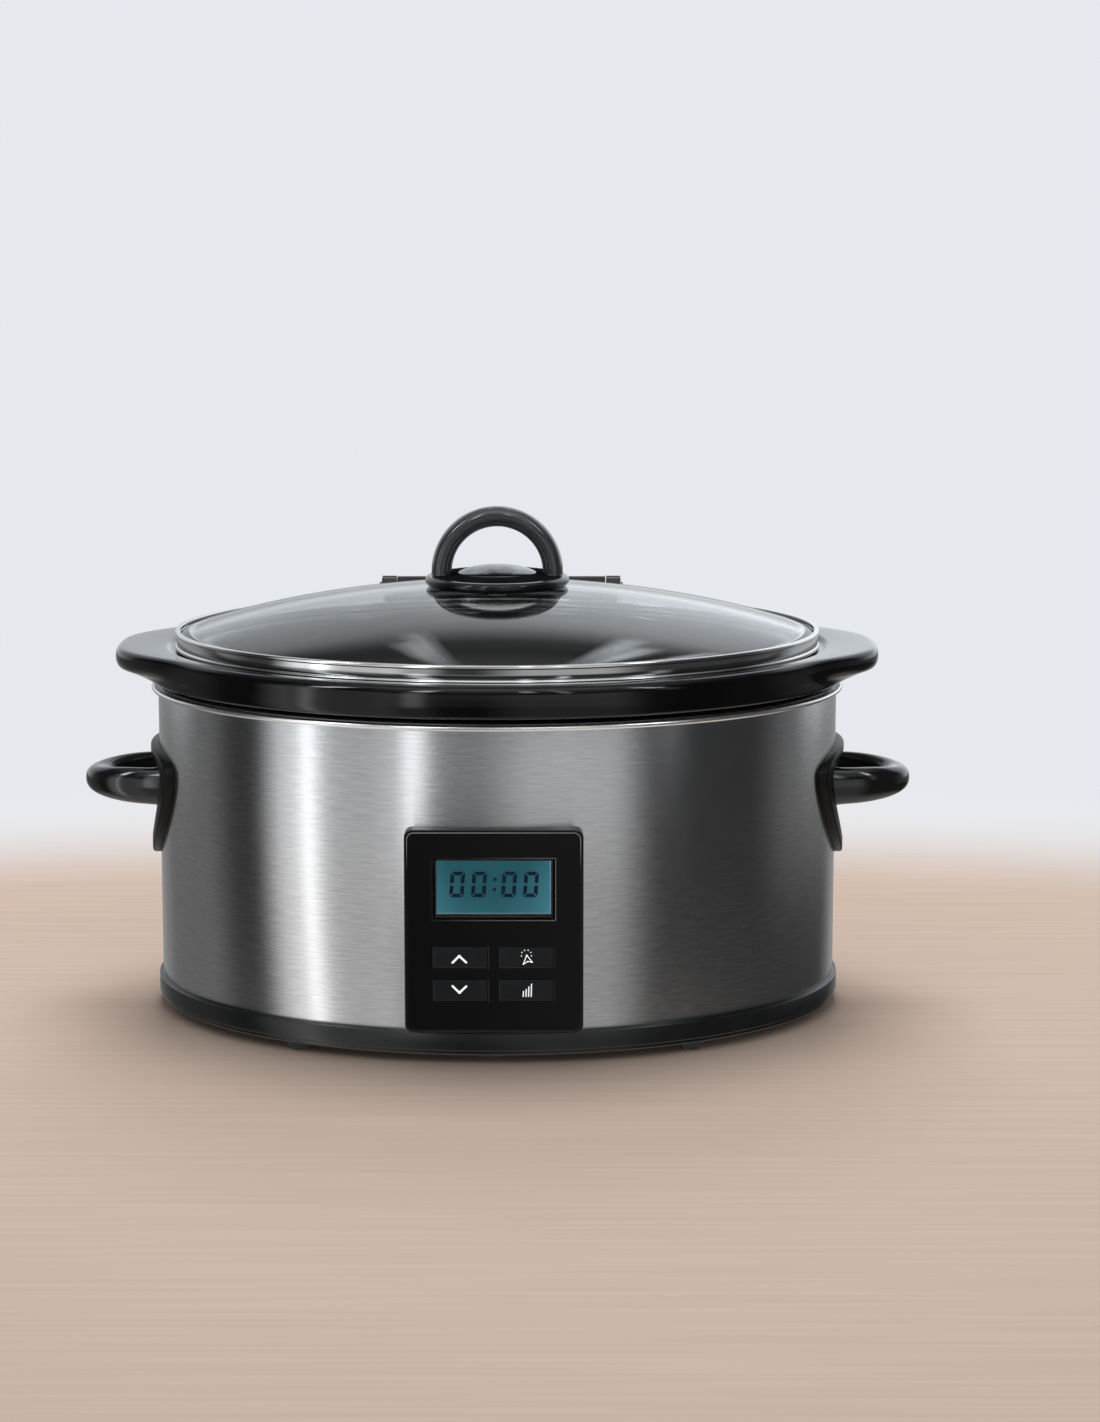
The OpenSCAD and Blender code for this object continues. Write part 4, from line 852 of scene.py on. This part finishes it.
def grip_mesh(side, middle):
    """A handle's D-shaped grip, tall at its roots and slimmer in front."""
    arm, thick, tall, slimmer = 24.0, 10.6, 19.2, 5.6
    stretch = (handle_high.x / MM - a_mm) / (arm + thick / 2)
    section, rings = squared_section(36, thick / 2, 0.5), []
    for k in range(65):
        t = radians(-90 + 180 * k / 64)
        away = stretch * arm * cos(t)
        flare = 1 + 0.03 * max(0.0, 1 - (away - 2.5) / 4.5) ** 2 if away < 7 else 1.0
        high = (tall - slimmer * max(0.0, cos(t)) ** 2.6) * flare
        ring = []
        for p in section:
            y = (arm + p.x * flare) * sin(t)
            root = oval_y(b_mm, a_mm, y) + 0.3
            x = root + (a_mm + stretch * (arm + p.x) - root) * cos(t)
            ring.append((side * x * MM, body_y + y * MM, (middle + 0.6 * cos(t) + p.y * high) * MM))
        rings.append(ring)
    return skin(rings)


def digits_mesh():
    """Four noughts and a colon, in the slanted bars of a segment display."""
    low, high, wide = display_low.z / MM + 14.3, 12.8, 7.1
    bar, gap, lean = 1.85, 0.35, tan(radians(4))
    cut, mid, top = bar * 0.9, low + high / 2, low + high
    shapes = []

    def leaned(x, z):
        return ((x + (z - low) * lean) * MM, z * MM)
    for left in (-21.9, -11.2, 3.5, 14.2):
        right = left + wide
        for z0, z1 in ((low, mid), (mid, top)):
            for x, s in ((left, 1), (right, -1)):
                end0, end1 = (cut, 0.0) if z0 == low else (0.0, cut)
                shapes.append([leaned(x, z0 + gap + 0.25), leaned(x + s * bar, z0 + gap + end0 + 0.3),
                               leaned(x + s * bar, z1 - gap - end1 - 0.3), leaned(x, z1 - gap - 0.25)][::s])
        for z, s in ((low, 1), (top, -1)):
            x0, x1, inside = left + gap, right - gap, z + s * bar
            shapes.append([leaned(x0 + 0.3, z), leaned(x1 - 0.3, z), leaned(x1 - cut, inside),
                           leaned(x0 + cut, inside)][::s])
    dot = 0.75                                     # half a dot of the colon
    for z in (low + 8.9, low + 3.9):
        shapes.append([leaned(u * dot, z + v * dot) for u, v in ((-1, -1), (1, -1), (1, 1), (-1, 1))])
    return face_prints(shapes, display_low.y - 0.045 * MM, 0.03 * MM)


def icon_shapes(kind):
    """Outlines of a generic sign about a button's middle: arrow up, arrow down, pointer with rays, bars."""
    if kind in ("up", "down"):
        s = 1 if kind == "up" else -1
        return stroke([(-3.8, -2.35 * s), (-0.45, 1.0 * s), (2.95, -2.2 * s)], 1.0)
    if kind == "level":
        half, foot = 0.27, -3.1                    # half a bar's width, and its lower end
        return [[(x * MM, z * MM) for x, z in (
            (c - half, foot), (c + half, foot), (c + half + 0.2, top), (c - half + 0.2, top - 0.3))]
            for c, top in ((-1.55, 0.0), (-0.2, 1.0), (1.1, 2.3), (2.4, 3.7))]
    shapes, dot = stroke([(0.25, 1.5), (2.95, -2.1), (0.85, -1.7), (-1.45, -3.1), (0.25, 1.5)], 0.42), 0.3
    for k in range(6):
        t = radians(-12 + 41 * k)
        x, z = 0.1 + 2.5 * cos(t), 1.6 + 2.5 * sin(t)
        eighths = [pi * j / 4 for j in range(8)]
        shapes.append([((x + dot * cos(e)) * MM, (z + dot * sin(e)) * MM) for e in eighths])
    return shapes


add_piece("shell_sheet", body_shell(), SHELL_STEEL, "housing", ["outer_shell"])
rim_mm, rim_z0, rim_z1 = (rim_high.x - shell_a) / MM, rim_low.z / MM, rim_high.z / MM
add_piece("rolled_rim", oval_hoop(shell_a, shell_b, [
    (0.05, rim_z0, 0.3), (rim_mm, rim_z0, 1.3), (rim_mm, rim_z1, 1.35), (-0.9, rim_z1, 0.4),
    (-0.9, z1_mm + 0.05, 0.1), (0.05, z1_mm + 0.05, 0.1)],
    marked=True, steps=6), RIM_STEEL, "housing", ["steel_rim"])
foot_mm = ring_low.z / MM
add_piece("base_hoop", oval_hoop(shell_a, shell_b + 0.5 * MM, [
    (2, z0_mm, 0.9), (2, foot_mm + 2.5, 0.5), (0.8, foot_mm + 2.1, 0.2), (0.8, foot_mm, 0.7),
    (-13.1, foot_mm, 0.4), (-13.1, foot_mm + 2.5, 0.2), (-26.5, foot_mm + 2.5, 0.2), (-26.5, foot_mm + 4, 0.4),
    (-4.1, foot_mm + 4, 0.6), (-4.1, z0_mm + 5.6, 0.3), (-1.6, z0_mm + 5.6, 0.3), (-1.6, z0_mm, 0.2),
    (0.6, z0_mm, 0.2), (0.9, z0_mm - 0.6, 0.2), (1.2, z0_mm, 0.2)],
    marked=True), BASE_BLACK, "housing", ["base_ring"])
add_piece("crock_pot", crock_mesh(), GLAZE, "crock", ["crock"], angle=60)
screws_low, screws_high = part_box("handle_screws")
grip_z = (screws_low.z + screws_high.z) / 2 / MM
for side, name in ((-1, "left"), (1, "right")):
    for part, mesh, look in (("_shield", shield_mesh(side, grip_z), SHIELD_BLACK),
                             ("_grip", grip_mesh(side, grip_z), HANDLE_BLACK)):
        add_piece(name + part, mesh, look, "housing", [name + "_handle"], angle=50)

# ---- Lid ----
band_low, band_high = lid_low.z / MM, lid_high.z / MM
add_piece("lid_band", oval_hoop(lid_a, lid_b, [
    (0, band_low, 0.4), (0, band_low + 1.4, 0.5), (-0.75, band_low + 1.9, 0.25), (-0.4, band_high - 2.0, 0.3),
    (0, band_high - 1.5, 0.4), (0, band_high, 0.95), (-2.7, band_high, 0.4), (-2.7, band_high - 0.9, 0.3),
    (-1.7, band_high - 0.9, 0.1), (-1.7, band_low + 1, 0.1), (-5.4, band_low + 1, 0.1),
    (-5.4, band_low, 0.3)], marked=True, steps=6), LID_STEEL, "lid", ["lid_rim"])
add_piece("domed_glass", lid_glass_mesh(), LID_GLASS, "lid", ["lid_glass"], angle=50)
seal_z0, seal_z1 = (end.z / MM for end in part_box("lid_seal"))
add_piece("seal_ring", oval_hoop(lid_a, lid_b, [
    (-0.8, seal_z0, 0.2), (-0.8, seal_z1, 0.1), (-4.4, seal_z1, 0.1), (-4.4, seal_z0, 0.2)], marked=True),
    SEAL_RUBBER, "lid", ["lid_seal"])
k_z, k_r, bore, floor = saucer_high.z / MM - 3.7, saucer_high.x / MM, 2.6, 5.0     # the saucer's own sizes
saucer = rounded([
    (bore, k_z, 0), (24, k_z, 9), (k_r - 4.5, k_z - 1.3, 2), (k_r - 1.6, k_z - 1.4, 1.4),
    (k_r, k_z + 0.2, 1.8), (k_r, k_z + 2.6, 1.6), (k_r - 1.7, k_z + 3.7, 1.6), (k_r - 5, k_z + 3.75, 2),
    (23.2, k_z + 4.6, 3), (22, k_z + 5.1, 0.5), (20.5, k_z + floor, 0.3), (bore, k_z + floor, 0)], 5, closed=False)
add_piece("knob_saucer", turned([(bore, k_z + floor)] + [tuple(p) for p in saucer]), KNOB_BLACK, "lid",
          ["knob_base"])
add_piece("knob_saucer_top", turned([
    (bore, k_z + 3.6), (k_r - 5.5, k_z + 3.2), (k_r - 4.3, k_z + 3.86), (23.2, k_z + 4.75), (22, k_z + 5.2),
    (20.5, k_z + 5.15), (bore, k_z + 5.15)]), SAUCER_BLACK, "lid", ["knob_base"])
add_piece("knob_grip", knob_arch_mesh(), ARCH_PAINTED_SHEEN, "lid", ["knob_arch"], angle=50)
d_z, d_r, rise = disc_low.z / MM, disc_high.x / MM, 4.1
crown = [(d_r * cos(radians(t)), k_z + floor + rise * sin(radians(t)) ** 1.5) for t in range(0, 90, 5)]
add_piece("knob_boss", turned([(0, d_z), (d_r, d_z)] + crown + [(0, k_z + floor + rise)]), KNOB_CHROME_PAINTED_REFLECTION, "lid",
          ["knob_disc"], angle=50)


# ---- Copies of CAD shapes with softened edges ----
def before(depth):
    """A test for edges that lie in front of a depth."""
    return lambda edge: all(v.co.y < depth for v in edge.verts)


# Tests for edges on the panel's front, on the lens plate's, and on the foremost two steps of a key cap.
panel_front, lens_front = before(panel_low.y + 0.02 * MM), before(lens_low.y + 0.02 * MM)
key_front = before(panel_low.y + 0.15 * MM)
# Each copy: its name, node, bevel in millimetres, material, slot, body, and the test or None for all edges.
SOFTENED = [
    ("panel_frame", "panel_housing", 0.45, PANEL_BLACK, "panel_black", "housing", panel_front),
    ("panel_lens_plate", "panel_lens", 0.22, LENS_BLACK, "lens_black", "housing", lens_front),
    ("display_window", "lcd_window", 0.3, WINDOW_GLASS, "window_clear", "housing", None),
    ("display_module", "lcd_module", 0.15, MASK_BLACK, "lcd_glass", "housing", None),
    *[("key_" + kind, "button_" + kind, 0.16, KEY_BLACK, "button_black", "button_" + kind, key_front)
      for kind in BUTTONS],
    ("hinge_block", "hinge_post", 0.9, HINGE_BLACK, "hinge_black", "housing", None),
    ("hinge_arm", "lid_bracket", 0.7, HINGE_BLACK, "hinge_black", "lid", None),
    ("hinge_rod", "hinge_pin", 0.4, PIN_STEEL, "pin_steel", "hinge_pin", None),
    ("cord_bush", "cord_inlet", 0.7, INLET_BLACK, "inlet_black", "housing", None),
    ("well_sheet", "heating_well", 0.0, WELL_METAL, "well_metal", "housing", None),
    ("sensor_cup", "temp_sensor", 0.5, SENSOR_METAL, "sensor_metal", "housing", None),
    ("knob_pad", "knob_washer", 0.15, SEAL_RUBBER, "seal_rubber", "lid", None),
    ("transformer_block", "transformer", 0.5, TAPE, "transformer_yellow", "housing", None),
    ("relay_case", "relay", 0.6, RELAY_BLUE, "relay_blue", "housing", None),
    ("capacitor_can", "capacitor", 0.6, CAN_BLACK, "capacitor_black", "housing", None),
    ("chip_set", "board_chips", 0.15, CHIP_BLACK, "chip_black", "housing", None),
    ("switch_set", "tact_switches", 0.25, SWITCH_BLACK, "switch_black", "housing", None),
]
for name, node, bevel, material, slot, body, pick in SOFTENED:
    mesh = softened(node, bevel, pick)
    if node == "hinge_post":                       # the post's ears end just below the arm's top
        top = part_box("lid_bracket")[1].z - 0.4 * MM
        for v in mesh.vertices:
            v.co.z = min(v.co.z, top)
    add_piece(name, mesh, material, body, [node], angle=16)

# ---- Display, signs and lines with painted highlights ----
x0, x1, z0, z1 = -28.1 * MM, 27.9 * MM, display_low.z + 6.0 * MM, display_high.z - 3.7 * MM
lit_face = face_prints([[(x0, z0), (x1, z0), (x1, z1), (x0, z1)]], display_low.y - 0.005 * MM, 0.03 * MM)
add_piece("display_face", lit_face, DISPLAY, "housing")
add_piece("display_digits", digits_mesh(), DIGIT_INK, "housing")
for kind in BUTTONS:
    low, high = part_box("button_" + kind)
    x, z = (low.x + high.x) / 2, (low.z + high.z) / 2
    sign = face_prints([[(x + u, z + v) for u, v in shape] for shape in icon_shapes(kind)], low.y - 0.002 * MM)
    add_piece("sign_" + kind, sign, ICON_PRINT_PAINTED_GLOW, "button_" + kind)


def painted_highlight_strip(low, high, radius, width, y, thick=0.03 * MM):
    """A thin line round a box's front, a strip that carries a painted highlight; its corners' radius and width are
    in millimetres, y is its face.
    """
    x0, x1, z0, z1 = (v / MM for v in (low.x, high.x, low.z, high.z))

    def loop(grow):
        r = radius + grow
        return rounded([(x0 - grow, z0 - grow, r), (x1 + grow, z0 - grow, r), (x1 + grow, z1 + grow, r),
                        (x0 - grow, z1 + grow, r)], 8)
    inner, outer = loop(0), loop(width)
    stack = ((outer, y - thick), (inner, y - thick), (inner, y), (outer, y))
    return skin([[(p.x * MM, at, p.y * MM) for p in line] for line, at in stack], closed=True)


# Painted highlights: thin strips on the lens's and the window's edges that glow by their own colour
add_piece("lens_painted_highlight_line", painted_highlight_strip(lens_low, lens_high, 3.2, 0.3, panel_low.y),
          painted_edge_highlight("lens edge painted highlight", x_share=0, z_share=1, low=0.1, high=0.119), "housing")
add_piece("window_painted_highlight_line", painted_highlight_strip(window_low, window_high, 0.6, 0.22, lens_low.y),
          painted_edge_highlight("window edge painted highlight", x_share=1, z_share=-0.6, low=-0.075, high=-0.01), "housing")

# ---- Fasteners, feet and spring ----
case_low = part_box("base_screws")[0]
screw_ring = oval_ring(shell_a - 20 * MM, shell_b - 20 * MM, case_low.z + 1.8 * MM, 8)
grown("bottom_screws", screw_tree(), screw_ring, {"Turn": (pi, 0, 0)}, SCREW_STEEL, "housing",
      ["base_screws"])
feet_low, feet_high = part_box("feet")
foot_r = 6.8 * MM
foot_x, foot_y = feet_high.x - foot_r, (feet_high.y - feet_low.y) / 2 - foot_r
foot_at = [(i * foot_x, body_y + j * foot_y, 0) for i in (-1, 1) for j in (-1, 1)]
grown("rubber_foot_set", foot_tree(), foot_at, {"Foot Height": ring_low.z, "Stem Length": feet_high.z - ring_low.z},
      FOOT_RUBBER, "housing", ["feet"])
rivets_low, rivets_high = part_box("bracket_rivets")
rivet_r, plate = 2.8 * MM, 3.4 * MM                # a rivet's head, and the arm's plate round the band
rivet_x, rivet_z = rivets_high.x - rivet_r, (rivets_low.z + rivets_high.z) / 2
off_plate = body_y + 0.05 * MM
rivet_at = [(x, off_plate + oval_y(lid_a + plate, lid_b + plate, max(0.0, abs(x) - rivet_r)), rivet_z)
            for x in (-rivet_x, 0.0, rivet_x)]
grown("arm_rivets", rivet_tree(), rivet_at, {"Turn": (-pi / 2, 0, 0)}, SCREW_STEEL, "lid",
      ["bracket_rivets"])
spring_low, spring_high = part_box("sensor_spring")
wire_r = 0.5 * MM
grown("sensor_coil", spring_tree(), [(0, body_y, spring_low.z + wire_r)],
      {"Height": spring_high.z - spring_low.z - 2 * wire_r}, PIN_STEEL, "housing",
      ["sensor_spring"])

# ---- Finishes of the CAD nodes that stay ----
KEPT = {
    "heating_band": BAND_METAL, "band_clamp": ZINC, "band_screw": SCREW_STEEL, "well_insulation": WOOL,
    "base_plate": PLATE_PAINT, "tie_posts": ZINC, "heat_shield": SHIELD_METAL, "shield_spacers": ZINC,
    "thermal_fuse": SENSOR_METAL, "power_board": BOARD, "board_standoffs": BRASS, "terminal_block": TERMINAL,
    "heater_leads": SLEEVE, "lcd_backlight": BACKLIGHT, "control_board": BOARD, "ribbon_cable": RIBBON,
    "handle_screws": SCREW_STEEL, "hinge_screws": SCREW_STEEL, "knob_screw": SCREW_STEEL}
for node, material in KEPT.items():
    NODES[node].data.materials.clear()
    NODES[node].data.materials.append(material)

# ---- Studio ----
PALE = (0.79, 0.81, 0.845, 1.0)      # colour of the background


def seen_rays(tree):
    """One for what the camera sees, straight, in gloss or through glass."""
    path = made(tree, "ShaderNodeLightPath")
    return path["Is Camera Ray"].larger(path["Is Glossy Ray"]).larger(path["Is Transmission Ray"])


def floor_material():
    """Pale wood that fades at a distance to the background's colour, which only seen rays get."""
    material, leave = new_material("pale table")
    tree = leave.id_data
    x, y, _ = axes(object_place(leave))
    lines = noise(made(tree, "ShaderNodeCombineXYZ", {"X": x * 2.0, "Y": y * 70.0}), 3.0, 6.0, 0.55)
    wood = mixed(spread(lines, 0.3, 0.7), rgb(0.555, 0.438, 0.366), rgb(0.605, 0.482, 0.408))
    back = y + 0.9
    fade = made(tree, "ShaderNodeMapRange", {"Value": (x * x + back * back).root(), "From Min": 1.16,
                                             "From Max": 1.52}, interpolation_type="SMOOTHSTEP")
    body = made(tree, "ShaderNodeBsdfDiffuse", {"Color": mixed(fade, wood, PALE)})
    glow = made(tree, "ShaderNodeEmission", {"Color": PALE, "Strength": 1.0})
    link(made(tree, "ShaderNodeMixShader", {0: fade * seen_rays(tree), 1: body, 2: glow}), leave, "Surface")
    material.cycles.emission_sampling = "NONE"
    return material


def stage_piece(name, verts, faces, material):
    mesh = plain_mesh(verts, faces)
    mesh.materials.append(material)
    thing = in_scene(name, mesh)
    thing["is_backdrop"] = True
    return thing


table = stage_piece("table_top", [(-12, -12, 0), (12, -12, 0), (12, 12, 0), (-12, 12, 0)], [(0, 1, 2, 3)],
                    floor_material())
table.visible_glossy = False

# The room, seen only in gloss and through glass. Each part: from and to in degrees round from the front,
# level, softness, and from and to in degrees of lift.
ROOM = [
    (-70, -29, 0.5, 5, -60, 16), (-65, -49, 0.4, 4, -60, 38), (-56, -52, 1.3, 2.5, -60, 32),    # left: wall, window
    (-25, -19.5, 1.3, 2, -11.5, 26), (-31, -17, 0.3, 4, -60, 10),                               # narrow window
    (-30, 36, 0.26, 5, -9.5, 12), (2, 38, 0.33, 9, -60, 10),                                    # wall in front
    (46, 52, 0.6, 3, 8, 30), (-38, 46, 0.3, 6, 24, 62), (17.5, 20.5, 2.5, 1, 18, 62),           # upper wall
    (-57, -50, 11, 1, 30, 50), (-25, -19, 9, 1, 32, 50), (7, 11, 5, 1, 32, 50),                 # high windows
    (45, 51, 8, 1, 30, 50),
    (166.5, 169, 5, 1, 44, 70), (156, 158.5, 5, 1, 44, 70), (-172, -170, 3, 1, 44, 70),         # strip lights
    (92, 150, 0.13, 12, -13, 14), (-150, -92, 0.13, 10, -60, 14),                               # side walls
    (115, 180, 0.98, 12, -2, 42), (180, 245, 0.64, 12, -2, 42), (150, 210, 0.3, 16, -60, -2)]   # walls behind
DIM = 0.04                           # level between the parts
UNDER = (0.75, 0.69, 0.6375)         # light that comes up from the table


def ramp(value, start, length):
    """Nought up to the start, one beyond the length, and straight between."""
    return min(1.0, max(0.0, (value - start) / length))


def room_light(angle, lift):
    """Colour of the room's light from a direction."""
    level = DIM
    for start, end, strength, soft, low, high in ROOM:
        off = abs((angle - (start + end) / 2 + 180) % 360 - 180) - (end - start) / 2
        for d, s in ((off, soft), (low - lift, 3), (lift - high, 5)):
            part = 1 - ramp(d, -s, 2 * s)
            strength *= part * part * (3 - 2 * part)
        level += strength
    over, under = ramp(lift, 46, 20), ramp(-lift, 32, 16)          # shares of the ceiling and of the table
    cool = 0.05 * ramp(lift, -4, 10)
    ceiling = 0.38 + 2.6 * max(0.0, cos(radians(angle)) * cos(radians(lift)))
    return [level * (1 - over) * (1 - under) * (1 + c * cool) + over * ceiling + under * u
            for c, u in zip((-1, 0, 1), UNDER)] + [1.0]


def room_dome():
    """A wide dome that carries the room's light; lamps do the lighting, and only gloss and glass see this."""
    rise = [*range(-88, -40, 12), *range(-40, 44, 2), *range(44, 90, 5)]
    count, radius, centre, verts, tones = 360, 9.0, 0.12, [], []
    for lift in rise:
        e = radians(lift)
        for i in range(count):
            t = radians(i - 90)
            verts.append((radius * cos(e) * cos(t), radius * cos(e) * sin(t), centre + radius * sin(e)))
            tones += room_light(i if i < 180 else i - 360, lift)
    material, leave = new_material("room light")
    tone = made(leave.id_data, "ShaderNodeAttribute", attribute_name="tone")["Color"]
    link(made(leave.id_data, "ShaderNodeEmission", {"Color": tone, "Strength": 1.0}), leave, "Surface")
    material.cycles.emission_sampling = "NONE"
    dome = stage_piece("room_dome", verts, skin_faces(len(rise), count, False), material)
    dome.data.attributes.new("tone", "FLOAT_COLOR", "POINT").data.foreach_set("color", tones)
    for ray in ("camera", "diffuse", "shadow", "volume_scatter"):
        setattr(dome, "visible_" + ray, False)


room_dome()

world = bpy.data.worlds.new("studio")
bpy.context.scene.world = world
world.use_nodes = True
tree = world.node_tree
tree.nodes.clear()
pale = made(tree, "ShaderNodeBackground", {"Color": PALE, "Strength": 1.0})
soft = made(tree, "ShaderNodeBackground", {"Color": rgb(1.0, 0.99, 0.98), "Strength": 0.3})
link(made(tree, "ShaderNodeMixShader", {0: seen_rays(tree), 1: soft, 2: pale}),
     tree.nodes.new("ShaderNodeOutputWorld"), "Surface")


def soft_lamp(name, azimuth, elevation, distance, size, power):
    """A square soft lamp aimed at the body's middle; azimuth is round from the front towards +X."""
    data = bpy.data.lights.new(name, "AREA")
    data.size, data.energy = size, power
    lamp, aim = in_scene(name, data), Vector((0, 0, 0.1))
    t, e = radians(azimuth - 90), radians(elevation)
    lamp.location = aim + distance * Vector((cos(t) * cos(e), sin(t) * cos(e), sin(e)))
    lamp.rotation_euler = (aim - lamp.location).to_track_quat("-Z", "Y").to_euler()
    lamp.visible_glossy = lamp.visible_transmission = False


for name, azimuth, elevation, distance, size, power in (
        ("key", -14, 44, 2.2, 1.6, 5), ("fill", 22, 36, 2.4, 1.6, 4), ("top", 178, 80, 2.4, 1.2, 36),
        ("back", 180, 46, 2.6, 1.0, 20)):
    soft_lamp(name, azimuth, elevation, distance, size, power)

camera = in_scene("camera", bpy.data.cameras.new("camera"))
camera.location = (0.0270, -1.8454, 0.4720)
camera.rotation_euler = (pi / 2 - 0.1718, 0.0, -0.0003)
camera.data.sensor_width, camera.data.lens = 36.0, 89.68
bpy.context.scene.camera = camera
bpy.context.scene.view_settings.view_transform = "Standard"

low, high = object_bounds()
